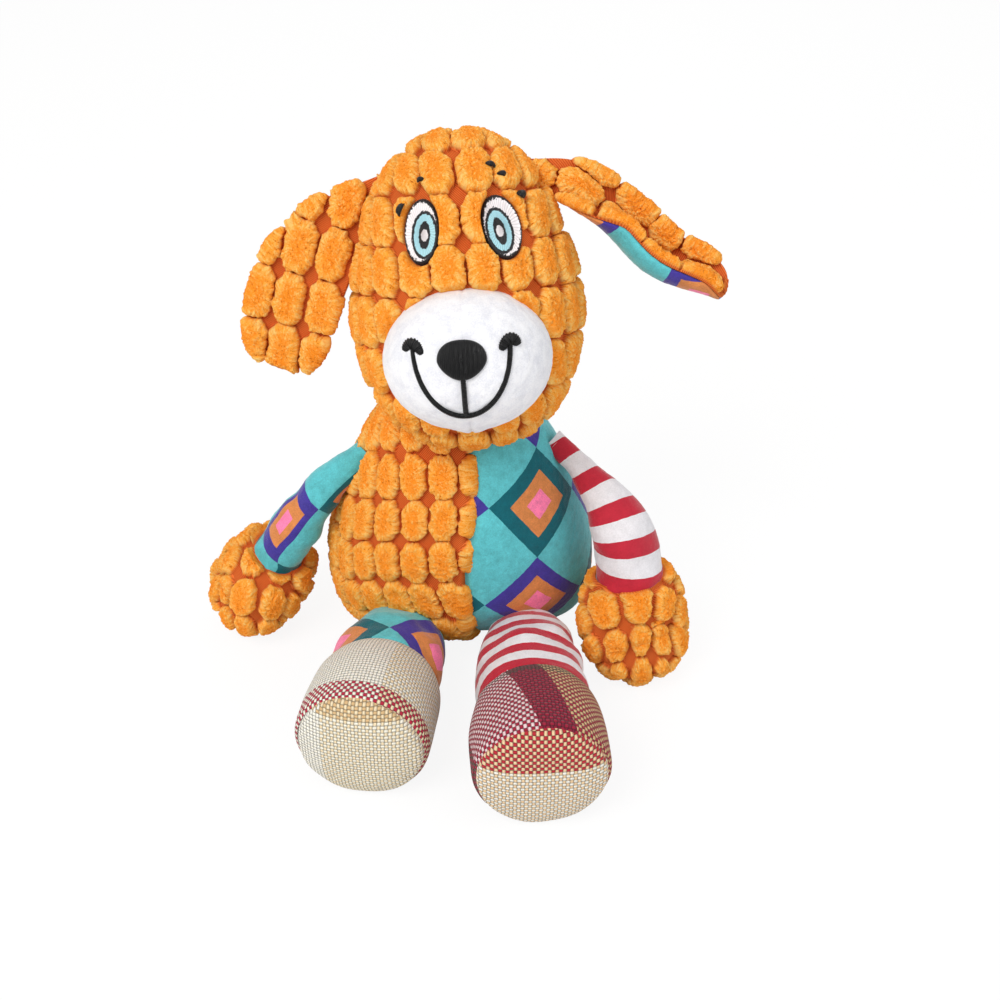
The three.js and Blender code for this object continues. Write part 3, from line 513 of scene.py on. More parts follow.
def operator(operation: str, reflected: bool = False) -> Callable[[Value, Value | float], Value]:
    """Makes an operator that adds a Math node.

    Args:
        operation: The node's operation.
        reflected: Whether the two terms change places.

    Returns:
        The operator's method.
    """

    def method(self: Value, other: Value | float) -> Value:
        """Adds the node on both terms."""
        terms = (other, self) if reflected else (self, other)
        return self.math_node(operation, *terms)

    return method


class Value:
    """A socket of a material's nodes that takes part in sums."""

    __add__, __radd__ = operator("ADD"), operator("ADD", reflected=True)
    __sub__, __rsub__ = operator("SUBTRACT"), operator("SUBTRACT", reflected=True)
    __mul__, __rmul__ = operator("MULTIPLY"), operator("MULTIPLY", reflected=True)
    __truediv__, __rtruediv__ = operator("DIVIDE"), operator("DIVIDE", reflected=True)
    __lt__, __gt__ = operator("LESS_THAN"), operator("GREATER_THAN")

    def __init__(self, bench: Bench, socket: bpy.types.NodeSocket | None) -> None:
        """Holds a socket and the bench that adds nodes beside it."""
        self.bench = bench
        self.socket = socket

    def math_node(self, operation: str, *terms: Value | float) -> Value:
        """Adds a Math node on these terms."""
        return self.bench.add("ShaderNodeMath", {"operation": operation}, dict(enumerate(terms)))

    def floor(self) -> Value:
        """The whole number below."""
        return self.math_node("FLOOR", self)

    def size(self) -> Value:
        """The value without its sign."""
        return self.math_node("ABSOLUTE", self)

    def root(self) -> Value:
        """The square root."""
        return self.math_node("SQRT", self)

    def sine(self) -> Value:
        """The sine."""
        return self.math_node("SINE", self)

    def odd(self) -> Value:
        """1 where a whole number is odd, else 0."""
        return self.math_node("PINGPONG", self, 1.0)

    def angle(self, across: Value) -> Value:
        """The angle of a place that lies this far up and a value across."""
        return self.math_node("ARCTAN2", self, across)

    def step(self, low: float, high: float) -> Value:
        """A soft step from 0 at low to 1 at high."""
        settings = {"interpolation_type": "SMOOTHSTEP"}
        sockets = {"Value": self, "From Min": low, "From Max": high}
        return self.bench.add("ShaderNodeMapRange", settings, sockets)

    def wave(self, pitch: float) -> Value:
        """A sine wave along the value, from 0 to 1, that repeats at a pitch."""
        return (self * (2 * math.pi / pitch)).sine() * 0.5 + 0.5


class Bench:
    """A new material and its node tree."""

    def __init__(self, name: str) -> None:
        """Starts an empty material of this name."""
        self.material = bpy.data.materials.new(name)
        self.material.use_nodes = True
        self.tree = self.material.node_tree
        self.tree.nodes.clear()

    def add(
        self,
        kind: str,
        settings: dict[str, object] | None = None,
        sockets: dict[str | int, object] | None = None,
        output: str | int = 0,
    ) -> Value:
        """Adds any node.

        Args:
            kind: The node's type.
            settings: Its own properties, and the stops of its colour ramp as "stops".
            sockets: Values or links for its inputs, by name or by number.
            output: Which of its outputs is wanted.

        Returns:
            That output.
        """
        node = self.tree.nodes.new(kind)
        for key, setting in (settings or {}).items():
            if key == "stops":
                self._set_stops(node.color_ramp, setting)
            else:
                setattr(node, key, setting)
        for key, value in (sockets or {}).items():
            if isinstance(value, Value):
                self.tree.links.new(value.socket, node.inputs[key])
            else:
                node.inputs[key].default_value = value
        return Value(self, node.outputs[output] if node.outputs else None)

    @staticmethod
    def _set_stops(ramp: bpy.types.ColorRamp, stops: Sequence[tuple[float, Colour]]) -> None:
        """Sets a ramp's colours, each held until the next."""
        ramp.interpolation = "CONSTANT"
        while len(ramp.elements) < len(stops):
            ramp.elements.new(1.0)
        for element, (place, colour) in zip(ramp.elements, stops):
            element.position = place
            element.color = colour

    def cloth(self) -> tuple[Value, Value]:
        """The cloth's own two coordinates, in millimetres."""
        read = self.add("ShaderNodeUVMap", {"uv_map": CLOTH_MAP})
        split = self.add("ShaderNodeSeparateXYZ", {}, {"Vector": read})
        node = split.socket.node
        return Value(self, node.outputs[0]), Value(self, node.outputs[1])

    def attributes(self, *names: str) -> tuple[Value, ...]:
        """Values that the piece's points carry."""
        kind = "ShaderNodeAttribute"
        return tuple(self.add(kind, {"attribute_name": name}, {}, "Fac") for name in names)

    def noise(self, size: float, detail: float = 2.0, roughness: float = 0.5, twist: float = 0.0) -> Value:
        """Noise in space whose lumps are size millimetres wide, curled where it has a twist."""
        place = self.add("ShaderNodeTexCoord", {}, {}, "Object")
        sockets = {"Vector": place, "Scale": 1 / (size * MM), "Detail": detail, "Roughness": roughness}
        return self.add("ShaderNodeTexNoise", {}, {**sockets, "Distortion": twist})

    def wander(self, size: float, detail: float, reach: float) -> Value:
        """Noise about 0, for a line or an edge that isn't quite true."""
        return self.noise(size, detail) * reach - reach / 2

    def mix(
        self, factor: Value | float, first: Value | Colour, second: Value | Colour, how: str = "MIX"
    ) -> Value:
        """A colour between two others."""
        settings = {"data_type": "RGBA", "blend_type": how}
        return self.add("ShaderNodeMix", settings, {0: factor, 6: first, 7: second}, 2)

    def shaded(self, factor: Value, colour: Value | Colour, dark: float) -> Value:
        """A colour that is darkened to a share of itself where the factor is 0, as painted shade."""
        shade = self.mix(1.0, colour, (dark, dark, dark, 1.0), "MULTIPLY")
        return self.mix(factor, shade, colour)

    def bump(self, height: Value, depth: float, strength: float = 1.0) -> Value:
        """A normal from a height, whose full range is depth millimetres."""
        sockets = {"Height": height, "Distance": depth * MM, "Strength": strength}
        return self.add("ShaderNodeBump", {}, sockets)

    def finish(self, colour: Value | Colour, **constants: object) -> Material:
        """Closes the material with its surface shader.

        Args:
            colour: The base colour.
            constants: Values or links for the shader's other sockets, with _ for a space.

        Returns:
            The material.
        """
        sockets = {"Base Color": colour}
        for key, value in constants.items():
            sockets[key.replace("_", " ")] = value
        shader = self.add("ShaderNodeBsdfPrincipled", {}, sockets)
        self.add("ShaderNodeOutputMaterial", {}, {"Surface": shader})
        return self.material


@dataclass(frozen=True)
class TuftedPlush:
    """Orange tufts of brushed pile on a diagonal twill ground, with painted highlights and painted shade in
    their colour.
    """

    # light is a painted highlight on high clumps and curls of the pile; deep is painted shade in its creases.
    light: Colour = srgb(255, 204, 116)
    middle: Colour = srgb(255, 166, 58)
    heart: Colour = srgb(255, 148, 40)
    deep: Colour = srgb(190, 84, 14)
    ground: Colour = srgb(230, 120, 60)
    # ground_dark is painted shade in the grooves of the twill.
    ground_dark: Colour = srgb(184, 74, 28)
    sheen: Colour = srgb(255, 180, 90)
    twill_pitch: float = 0.85
    twill_rise: float = 0.25
    strand_share: float = 6.5
    strand_stretch: float = 0.32
    curl_share: float = 0.75
    fluff_share: float = 0.25
    middle_shade: float = 0.1
    brightness: float = 0.07
    # Below deep_band the pile is painted with shade, above light_band with a highlight, on the painted light
    # level.
    deep_band: Pair = (0.26, 0.43)
    light_band: Pair = (0.46, 0.68)
    heart_band: Pair = (0.5, 1.25)
    ground_band: Pair = (0.1, 0.5)
    patch_share: float = 0.6
    relief_shares: Triple = (1.2, 0.9, 0.3)
    relief: float = 0.75

    def _strands(self, bench: Bench) -> Value:
        """Streaks that fan out from each tuft's middle, as brushed fibres do."""
        x, y = bench.attributes(TUFT_X, TUFT_Y)
        radius = (x * x + y * y).root() + 0.3
        share = self.strand_share
        fan = {0: x / radius * share, 1: y / radius * share, 2: radius * self.strand_stretch}
        place = bench.add("ShaderNodeCombineXYZ", {}, fan)
        sockets = {"Vector": place, "Scale": 1.0, "Detail": 2.0, "Roughness": 0.6, "Distortion": 0.7}
        return bench.add("ShaderNodeTexNoise", {}, sockets)

    def make(self) -> Material:
        """The material."""
        bench = Bench("tufted_plush")
        across, along = bench.cloth()
        pile, fluff, middle = bench.attributes(PILE, FLUFF, MIDDLE)
        curl = bench.noise(0.75, 2.5, 0.6, twist=1.6)
        strand = self._strands(bench)
        patch = bench.noise(5.0, 2.0)
        body = bench.mix((middle + patch * self.patch_share).step(*self.heart_band), self.middle, self.heart)
        fringe = (strand - 0.5) * (1 - middle)
        # Painted light level from the streaks, curls and clumps of the bump: highlight on high places, shade
        # in low ones.
        bright = fringe + curl * self.curl_share + fluff * self.fluff_share
        bright = bright - middle * self.middle_shade + self.brightness
        tuft = bench.mix(bright.step(*self.light_band), body, self.light)
        tuft = bench.mix(bright.step(*self.deep_band), self.deep, tuft)
        # The twill's grooves, low in its bump, take painted shade.
        wave = (across + along).wave(self.twill_pitch)
        twill = bench.mix(wave, self.ground_dark, self.ground)
        standing = pile.step(*self.ground_band)
        colour = bench.mix(standing, twill, tuft)
        fringe_share, curl_share, fluff_share = self.relief_shares
        brushed = fringe * fringe_share + curl * curl_share + fluff * fluff_share
        height = brushed * standing + wave * (1 - standing) * self.twill_rise
        return bench.finish(
            colour,
            Roughness=0.95,
            Normal=bench.bump(height, self.relief, 0.85),
            Sheen_Weight=0.25,
            Sheen_Roughness=0.5,
            Sheen_Tint=self.sheen,
            Specular_IOR_Level=0.05,
        )


@dataclass(frozen=True)
class Nap:
    """The look that all the short brushed cloths share: their nap catches the light unevenly."""

    mottle: float = 0.5
    soft_share: float = 0.7
    level: float = 0.93
    depth: float = 0.18
    roughness: float = 0.75

    def finish(self, bench: Bench, colour: Value) -> Material:
        """Closes the material of a short-pile cloth of this colour."""
        fine = bench.noise(0.5, 3.0, 0.65, twist=0.8)
        soft = bench.noise(3.2, 3.0, 0.6)
        tone = (fine - 0.5) * self.mottle + (soft - 0.5) * (self.mottle * self.soft_share) + self.level
        lively = bench.mix(1.0, colour, tone, "MULTIPLY")
        return bench.finish(
            lively,
            Roughness=self.roughness,
            Normal=bench.bump(fine * 0.9 + soft * 0.8, self.depth, 0.85),
            Sheen_Weight=0.4,
            Sheen_Roughness=0.35,
            Specular_IOR_Level=0.25,
        )


@dataclass(frozen=True)
class DiamondPrint:
    """Nested diamonds that touch at their points, on an aqua ground."""

    wide: float = 37.0
    high: float = 45.0
    start_across: float = 0.0
    start_along: float = 0.0
    lean: float = 0.0
    rise: float = 0.0
    aqua: Colour = srgb(92, 192, 200)
    teal: Colour = srgb(0, 96, 108)
    indigo: Colour = srgb(66, 54, 150)
    tan: Colour = srgb(214, 134, 74)
    pink: Colour = srgb(255, 130, 174)
    frame_share: float = 0.62
    heart_share: float = 0.28
    wobble: float = 0.035
    nap: Nap = Nap(0.85)

    def make(self, name: str) -> Material:
        """The material under a name, for one piece's place in the print."""
        bench = Bench(name)
        across, along = bench.cloth()
        wobble = bench.wander(2.2, 2.0, self.wobble)
        turned = across + along * self.lean
        column = (turned - self.start_across) / self.wide
        row = (along + across * self.rise - self.start_along) / self.high
        near_column, near_row = (column + 0.5).floor(), (row + 0.5).floor()
        reach = ((column - near_column).size() + (row - near_row).size()) * 2 + wobble
        frame = bench.mix((near_column + near_row).odd(), self.teal, self.indigo)
        colour = bench.mix(reach < 1.0, self.aqua, frame)
        colour = bench.mix(reach < self.frame_share, colour, self.tan)
        colour = bench.mix(reach < self.heart_share, colour, self.pink)
        return self.nap.finish(bench, colour)


@dataclass(frozen=True)
class StripedPrint:
    """Red and white stripes across a limb or an ear."""

    period: float = 13.6
    red_share: float = 0.5
    start: float = 0.0
    lean: float = 0.0
    red: Colour = srgb(192, 38, 58)
    white: Colour = srgb(232, 230, 234)
    wobble: float = 0.5
    nap: Nap = Nap(0.4)

    def make(self, name: str) -> Material:
        """The material under a name, for one piece's place in the stripes."""
        bench = Bench(name)
        across, along = bench.cloth()
        wobble = bench.wander(2.5, 2.0, self.wobble)
        run = (along + across * self.lean + wobble - self.start) / self.period
        share = run - run.floor()
        return self.nap.finish(bench, bench.mix(share < self.red_share, self.white, self.red))


@dataclass(frozen=True)
class BasketWeave:
    """A coarse plain weave whose bands cross as a plaid.

    The threads that run along the foot take their colours across it, and the others along it. Each
    band is where it starts, in millimetres, and its colour.
    """

    warp: tuple[tuple[float, Colour], ...]
    weft: tuple[tuple[float, Colour], ...]
    warp_slant: float = 0.0
    weft_slant: float = 0.0
    pitch: float = 1.25
    span: float = 200.0
    drift: float = 0.5
    crown: float = 0.85
    dip: float = 0.45
    fibre_shade: float = 0.82
    gap_shade: float = 0.4
    gap_band: Pair = (0.24, 0.76)
    fibre_band: Pair = (0.3, 0.6)
    fibre_relief: float = 0.3

    def _bands(self, bench: Bench, place: Value, bands: tuple[tuple[float, Colour], ...]) -> Value:
        """The colour of the threads at a place, read in whole threads."""
        whole = (place / self.pitch).floor() * (self.pitch / self.span) + 0.5
        stops = [(start / self.span + 0.5, colour) for start, colour in bands]
        return bench.add("ShaderNodeValToRGB", {"stops": stops}, {0: whole})

    def make(self, name: str) -> Material:
        """The material under a name."""
        bench = Bench(name)
        across, along = bench.cloth()
        drift = bench.wander(3.0, 2.0, self.drift)
        column, row = (across + drift) / self.pitch, (along + drift * 0.8) / self.pitch
        over = (column.floor() + row.floor()).odd()
        x, y = (column - column.floor() - 0.5) * 2, (row - row.floor() - 0.5) * 2
        warp_rise = (1 - x * x * self.crown) * (1 - y * y * self.dip)
        weft_rise = (1 - y * y * self.crown) * (1 - x * x * self.dip)
        rise = warp_rise * over + weft_rise * (1 - over)
        weft = self._bands(bench, along + across * self.weft_slant, self.weft)
        warp = self._bands(bench, across + along * self.warp_slant, self.warp)
        thread = bench.mix(over, weft, warp)
        fibre = bench.noise(0.35, 3.0, 0.65)
        # Low fibres and the gaps between threads, low in the bump, are darkened with painted shade.
        tone = bench.shaded(fibre.step(*self.fibre_band), thread, self.fibre_shade)
        return bench.finish(
            bench.shaded(rise.step(*self.gap_band), tone, self.gap_shade),
            Roughness=0.88,
            Normal=bench.bump(rise + fibre * self.fibre_relief, 0.7, 0.9),
            Sheen_Weight=0.1,
            Sheen_Roughness=0.5,
            Specular_IOR_Level=0.2,
        )


@dataclass(frozen=True)
class WhitePile:
    """Short white pile with a faint cool shade in its hollows."""

    white: Colour = srgb(238, 238, 241)
    shade: Colour = srgb(220, 221, 228)
    hollow_band: Pair = (0.34, 0.6)

    def make(self) -> Material:
        """The material."""
        bench = Bench("white_pile")
        soft, fine = bench.noise(4.0, 3.0), bench.noise(0.5, 3.0, 0.65)
        standing = (soft * 0.5 + fine * 0.5).step(*self.hollow_band)
        return bench.finish(
            bench.mix(standing, self.shade, self.white),
            Roughness=0.9,
            Normal=bench.bump(fine * 0.8 + soft * 0.6, 0.22, 0.85),
            Sheen_Weight=0.3,
            Sheen_Roughness=0.4,
            Specular_IOR_Level=0.12,
        )


@dataclass(frozen=True)
class SatinStitch:
    """Close parallel threads of one colour."""

    colour: Colour
    pitch: float = 0.42
    gap_shade: float = 0.45
    roughness: float = 0.42

    def make(self, name: str) -> Material:
        """The material under a name."""
        bench = Bench(name)
        across, _ = bench.cloth()
        rise = (across + bench.noise(1.3, 2.0) * 0.5).wave(self.pitch)
        fibre = bench.noise(0.3, 2.0)
        lit = (rise * 0.8 + fibre * 0.3).step(0.1, 0.8)
        return bench.finish(
            bench.shaded(lit, self.colour, self.gap_shade),
            Roughness=self.roughness,
            Normal=bench.bump(rise + fibre * 0.3, 0.22, 0.8),
            Sheen_Weight=0.03,
            Specular_IOR_Level=0.25,
        )


@dataclass(frozen=True)
class EyeStitch:
    """An eye in satin stitch: rings of black, white and pale blue round a pupil with a white dot.

    The cloth's coordinates are the eye's own, across and up from its middle, in millimetres. Each
    ring has its half width and half height.
    """

    half_width: float
    half_height: float
    toward_nose: float
    black: Colour = srgb(24, 24, 28)
    white: Colour = srgb(244, 238, 240)
    blue: Colour = srgb(172, 222, 234)
    rim_share: float = 0.87
    drop: float = 0.9
    ring: Pair = (4.15, 7.5)
    iris: Pair = (3.35, 6.5)
    pupil: Pair = (1.8, 4.4)
    dot: Pair = (1.1, 1.9)
    ragged: float = 0.24
    stitches: float = 46.0
    stretch: float = 1.7

    @staticmethod
    def _reach(x: Value, y: Value, half: Pair, aside: float, drop: float) -> Value:
        """How far out a place lies in an oval, 1 at its edge."""
        wide, high = (x - aside) / half[0], (y + drop) / half[1]
        return (wide * wide + high * high).root()

    def make(self, name: str) -> Material:
        """The material under a name."""
        bench = Bench(name)
        x, y = bench.cloth()
        ragged = bench.wander(0.6, 2.0, self.ragged)
        outer = self._reach(x, y, (self.half_width, self.half_height), 0, 0) + ragged
        colour = bench.mix(outer < self.rim_share, self.black, self.white)
        rings = (
            (self.ring, 1.0, self.black),
            (self.iris, 1.0, self.blue),
            (self.pupil, 1.5, self.black),
            (self.dot, 2.0, self.white),
        )
        for half, rough, tint in rings:
            reach = self._reach(x, y, half, self.toward_nose, self.drop) + ragged * rough
            colour = bench.mix(reach < 1.0, colour, tint)
        angle = y.angle(x * self.stretch)
        rise = (angle * self.stitches + outer * 3).sine() * 0.5 + 0.5
        # Between the stitches, where their bump is low, the colour is darkened with painted shade.
        return bench.finish(
            bench.shaded(rise.step(0.0, 0.5), colour, 0.78),
            Roughness=0.5,
            Normal=bench.bump(rise, 0.16, 0.8),
            Sheen_Weight=0.1,
            Specular_IOR_Level=0.3,
        )


@dataclass(frozen=True)
class PlainFinish:
    """A quiet finish for what is held inside: fibre fill or moulded plastic."""

    colour: Colour
    roughness: float
    lump: float
    depth: float

    def make(self, name: str) -> Material:
        """The material under a name."""
        bench = Bench(name)
        lumps = bench.noise(self.lump, 3.0, 0.6)
        # Where the lumps of the bump are low, the colour is darkened with painted shade.
        colour = bench.shaded(lumps.step(0.3, 0.6), self.colour, 0.9)
        return bench.finish(colour, Roughness=self.roughness, Normal=bench.bump(lumps, self.depth, 0.6))


def dress(piece: Piece, material: Material) -> None:
    """Gives a piece one material."""
    piece.data.materials.clear()
    piece.data.materials.append(material)


def joined(name: str, pieces: Sequence[Piece]) -> Piece:
    """Joins pieces into one of this name."""
    bpy.ops.object.select_all(action="DESELECT")
    for piece in pieces:
        piece.select_set(True)
    bpy.context.view_layer.objects.active = pieces[0]
    bpy.ops.object.join()
    pieces[0].name = name
    return pieces[0]


def place_piece(
    piece: Piece,
    body: str,
    material: Material,
    nodes: Sequence[str] = (),
    slot: str | None = None,
) -> Piece:
    """Dresses a finished piece and joins it to the frame.

    Args:
        piece: The piece, in place.
        body: The frame's body that it moves with.
        material: Its finish.
        nodes: The frame's nodes that it stands for.
        slot: The record's material slot; not used.

    Returns:
        The piece.
    """
    dress(piece, material)
    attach(piece, body)
    if nodes:
        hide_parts(*nodes)
    log.info("%s: %d faces on %s", piece.name, len(piece.data.polygons), body)
    return piece


# The toy


class Finishes:
    """The cloths and threads that several pieces share."""

    def __init__(self) -> None:
        """Makes the materials."""
        self.plush = TuftedPlush().make()
        self.white = WhitePile().make()
        self.black = SatinStitch(srgb(10, 10, 12)).make("black_thread")
        self.filling = PlainFinish(srgb(244, 244, 244), 0.95, 2.5, 0.8).make("fibre_fill")


@dataclass
class Body:
    """The pear-shaped body: plush on the dog's right, print on its left, sewn down the middle.

    Each ring has its height, half width and half depth, as shares of the body's.
    """

    height: float = 108.0
    half_width: float = 51.0
    half_depth: float = 39.0
    centre_seam: float = 3.0
    floor_cut: float = 0.5
    seam_tuck: float = 2.6
    plush_tuck_reach: float = 2.5
    print_tuck_reach: float = 3.5
    print_lift: float = 0.3
    seam_shift: float = -1.2
    seam_wander: float = 1.1
    seam_turns: float = 9.5
    seam_phase: float = 0.8
    rows_dip: float = 0.0055
    rows_dip_reach: float = 50.0
    columns_fan: float = 0.005
    columns_fan_from: float = 105.0
    belly_share: float = 0.4
    least_turn_radius: float = 8.0
    tufts: TuftLayout = TuftLayout(10.7, 16.6, start_across=0.634, start_along=0.096, height=4.0, seed=3)
    pattern: DiamondPrint = DiamondPrint(42.5, 40.8, 28.4, 112.4, rise=0.17)
    ring_shares: tuple[Triple, ...] = (
        (0.0, 0.0, 0.0),
        (0.0, 0.35, 0.2),
        (0.004, 0.6, 0.34),
        (0.035, 0.83, 0.44),
        (0.09, 0.93, 0.62),
        (0.18, 0.985, 0.86),
        (0.28, 1.0, 1.0),
        (0.41, 0.97, 1.0),
        (0.55, 0.89, 0.94),
        (0.69, 0.78, 0.83),
        (0.81, 0.66, 0.7),
        (0.91, 0.5, 0.54),
        (0.97, 0.33, 0.36),
        (1.0, 0.12, 0.14),
        (1.004, 0.0, 0.0),
    )

    def seam_at(self, height: Array) -> Array:
        """How far to the dog's left the middle seam lies at each height: it wanders a little."""
        wander = self.seam_wander * np.sin(height / self.height * self.seam_turns + self.seam_phase)
        return self.centre_seam + wander + self.seam_shift

    def sheet(self, side: Side) -> Sheet:
        """One half of the body's cloth, from the front seam round to the back seam."""
        sizes = np.array([self.height, self.half_width, self.half_depth])
        samples = curve_through(np.array(self.ring_shares) * sizes)
        count = int(length_of(samples) / PILE_SPACING)
        profile = at_shares(samples, np.linspace(0, 1, count))
        up, wide, deep = (profile[:, i : i + 1] for i in range(3))
        wide, deep = np.maximum(wide, THINNEST), np.maximum(deep, THINNEST)
        seam_share = side.value * self.seam_at(up) / np.maximum(wide, self.least_turn_radius)
        offset = np.arcsin(np.clip(seam_share, -1, 1))
        half_round = math.pi * (self.half_width + self.half_depth) / 2
        turn = np.linspace(0, 1, int(half_round / PILE_SPACING))
        angle = offset + (math.pi - 2 * offset) * turn
        out = np.stack([side.value * np.sin(angle), -np.cos(angle), np.zeros_like(angle)], axis=-1)
        points = out * np.stack([wide, deep, np.zeros_like(wide)], axis=-1)
        points[..., 2] = up - self.floor_cut
        away = out.copy()
        away[..., 2] = (up - self.belly_share * self.height) / self.height
        across = run_along(points, 1)
        quarter = points.shape[1] // 4
        along = np.broadcast_to(run_along(points, 0)[:, quarter : quarter + 1], across.shape)
        return Sheet(points, away, across, along)

    @staticmethod
    def from_seams(sheet: Sheet) -> Array:
        """How far each point lies from the nearer of the two seams."""
        return np.minimum(sheet.across, sheet.across[:, -1:] - sheet.across)

    def tuck(self, sheet: Sheet, reach: float) -> Array:
        """How far the cloth is drawn in within a reach of the two seams."""
        return -self.seam_tuck * (1 - smooth(0, reach, self.from_seams(sheet))) ** 2

    def build(self, finishes: Finishes) -> None:
        """Makes both halves."""
        self.build_plush(finishes)
        self.build_print()

    def build_plush(self, finishes: Finishes) -> None:
        """Makes the tufted half, whose rows dip towards the flank and whose columns fan out below."""
        sheet = self.sheet(Side.RIGHT)
        sheet.points = sheet.lifted(self.tuck(sheet, self.plush_tuck_reach))
        inward = np.minimum(self.from_seams(sheet), self.rows_dip_reach)
        sheet.along = sheet.along + self.rows_dip * inward**2
        low = np.maximum(self.columns_fan_from - sheet.along, 0)
        sheet.across = sheet.across + self.columns_fan * low**2
        points, looks = self.tufts.raise_pile(sheet)
        piece = sewn("body_plush_half", sheet, on_floor(points), looks)
        nodes = ("body_front_plush", "body_back_plush")
        place_piece(piece, "torso", finishes.plush, nodes, "plush")

    def build_print(self) -> None:
        """Makes the printed half."""
        sheet = self.sheet(Side.LEFT)
        points = napped(sheet, self.tuck(sheet, self.print_tuck_reach) + self.print_lift)
        piece = sewn("body_print_half", sheet, on_floor(points))
        nodes = ("body_front_print", "body_back_print")
        place_piece(piece, "torso", self.pattern.make("diamond_print_body"), nodes, "print")


@dataclass
class HeadFrame:
    """Where the head sits: its own X runs across, Y to the back and Z to the crown."""

    tilt_degrees: float = 20.0
    lean_degrees: float = 3.5
    half_height: float = 52.0
    half_width: float = 37.0
    half_depth: float = 38.0
    neck_shares: Triple = (-0.07, 0.45, -0.84)
    neck: Vector = field(default_factory=Vector)

    def __post_init__(self) -> None:
        """Works out the head's place from the neck's."""
        tilt = Matrix.Rotation(-math.radians(self.tilt_degrees), 3, "X")
        turn = tilt @ Matrix.Rotation(-math.radians(self.lean_degrees), 3, "Y")
        halves = (self.half_width, self.half_depth, self.half_height)
        neck_in_head = Vector([share * half for share, half in zip(self.neck_shares, halves)])
        self.origin = np.array(self.neck) - np.array(turn @ neck_in_head)
        self.matrix = np.array(turn)

    def place(self, local: Array) -> Array:
        """Places in the head's frame as places in the toy's."""
        return local @ self.matrix.T + self.origin

    def direction(self, local: Array) -> Array:
        """Directions in the head's frame as directions in the toy's."""
        return local @ self.matrix.T

    def facing(
        self,
        depth: Callable[[Array, Array], Array],
        x: Array,
        z: Array,
        drop: float = 0.0,
        step: float = 0.2,
    ) -> tuple[Array, Array]:
        """Reads a surface that faces forward.

        Args:
            depth: How far forward the surface lies at places across and up.
            x: Places across.
            z: Places up, from the surface's own middle.
            drop: How far that middle lies below the head's.
            step: How far to each side a slope is read.

        Returns:
            Places and outward directions, both in the toy's frame.
        """
        local = np.stack([x, -depth(x, z), z - drop], axis=-1)
        slope_x = (depth(x + step, z) - depth(x - step, z)) / (2 * step)
        slope_z = (depth(x, z + step) - depth(x, z - step)) / (2 * step)
        normal = unit(np.stack([-slope_x, -np.ones_like(slope_x), -slope_z], axis=-1))
        return self.place(local), self.direction(normal)


@dataclass
class Head:
    """The tufted head, with hollows in its pile where the muzzle and the eyes lie.

    Each ring has its height and half width, as shares of the head's.
    """

    frame: HeadFrame
    hollow_half_width: float = 28.0
    hollow_half_height: float = 24.0
    hollow_drop: float = 21.0
    front_band: Pair = (2.0, 8.0)
    muzzle_band: Pair = (0.9, 1.02)
    eye_band: Pair = (0.97, 1.14)
    seam_band: Pair = (0.1, 1.5)
    tufts: TuftLayout = TuftLayout(
        11.4, 16.5, start_across=0.409, start_along=0.473, shear=0.06, height=4.3, seed=11
    )
    ring_shares: tuple[Pair, ...] = (
        (-1.03, 0.0),
        (-1.01, 0.2),
        (-0.93, 0.55),
        (-0.74, 0.8),
        (-0.43, 0.955),
        (-0.18, 1.0),
        (0.05, 0.965),
        (0.25, 0.885),
        (0.54, 0.765),
        (0.69, 0.65),
        (0.83, 0.45),
        (0.91, 0.25),
        (0.945, 0.08),
        (0.95, 0.0),
    )

    def __post_init__(self) -> None:
        """Samples the outline that the head is turned from."""
        sizes = np.array([self.frame.half_height, self.frame.half_width])
        self.samples = curve_through(np.array(self.ring_shares) * sizes)

    def half_width_at(self, height: Array) -> Array:
        """The head's half width at heights in its own frame."""
        return np.interp(height, self.samples[:, 0], self.samples[:, 1])

    def depth_at(self, across: Array, up: Array) -> Array:
        """How far forward of its middle the front of the head's cloth lies."""
        wide = np.maximum(self.half_width_at(up), 0.1)
        deep = wide * self.frame.half_depth / self.frame.half_width
        return deep * np.sqrt(np.clip(1 - (across / wide) ** 2, 0.001, 1))

    def surface(self, x: Array, z: Array) -> tuple[Array, Array]:
        """Places and outward directions on the front of the head's cloth."""
        return self.frame.facing(self.depth_at, x, z)

    def sheet(self) -> tuple[Sheet, Array]:
        """The head's bare cloth, and its places in the head's own frame."""
        frame = self.frame
        rows = int(length_of(self.samples) / PILE_SPACING)
        profile = at_shares(self.samples, np.linspace(0, 1, rows))
        up, wide = profile[:, 0:1], np.maximum(profile[:, 1:2], THINNEST)
        columns = int(2 * math.pi * frame.half_width / PILE_SPACING)
        angle = np.linspace(-math.pi, math.pi, columns)[None, :]
        deep = wide * frame.half_depth / frame.half_width
        local = np.stack(np.broadcast_arrays(wide * np.sin(angle), -deep * np.cos(angle), up), axis=-1)
        away = local / np.array([frame.half_width, frame.half_depth, frame.half_height])
        points = frame.place(local)
        _, along = lay_cloth(points)
        across = angle * (wide + deep) / 2
        return Sheet(points, frame.direction(away), across, along), local

    def kept_pile(self, sheet: Sheet, local: Array, eyes: Sequence[Eye]) -> Array:
        """How much of the pile stands: none under the muzzle and the eyes, or in the back seam."""
        x, z = local[..., 0], local[..., 2]
        front = smooth(*self.front_band, -local[..., 1])
        under = np.hypot(x / self.hollow_half_width, (z + self.hollow_drop) / self.hollow_half_height)
        keep = 1 - front * (1 - smooth(*self.muzzle_band, under))
        keep = keep * smooth(*self.seam_band, sheet.across[:, -1:] - abs(sheet.across))
        for eye in eyes:
            keep = keep * (1 - front * (1 - smooth(*self.eye_band, eye.reach(x, z))))
        return keep

    def build(self, finishes: Finishes, eyes: Sequence[Eye]) -> None:
        """Makes the head's plush."""
        sheet, local = self.sheet()
        points, looks = self.tufts.raise_pile(sheet, self.kept_pile(sheet, local, eyes))
        piece = sewn("head_plush", sheet, points, looks, closed=True)
        place_piece(piece, "head", finishes.plush, ("head_front_skin", "head_back_skin"), "plush")


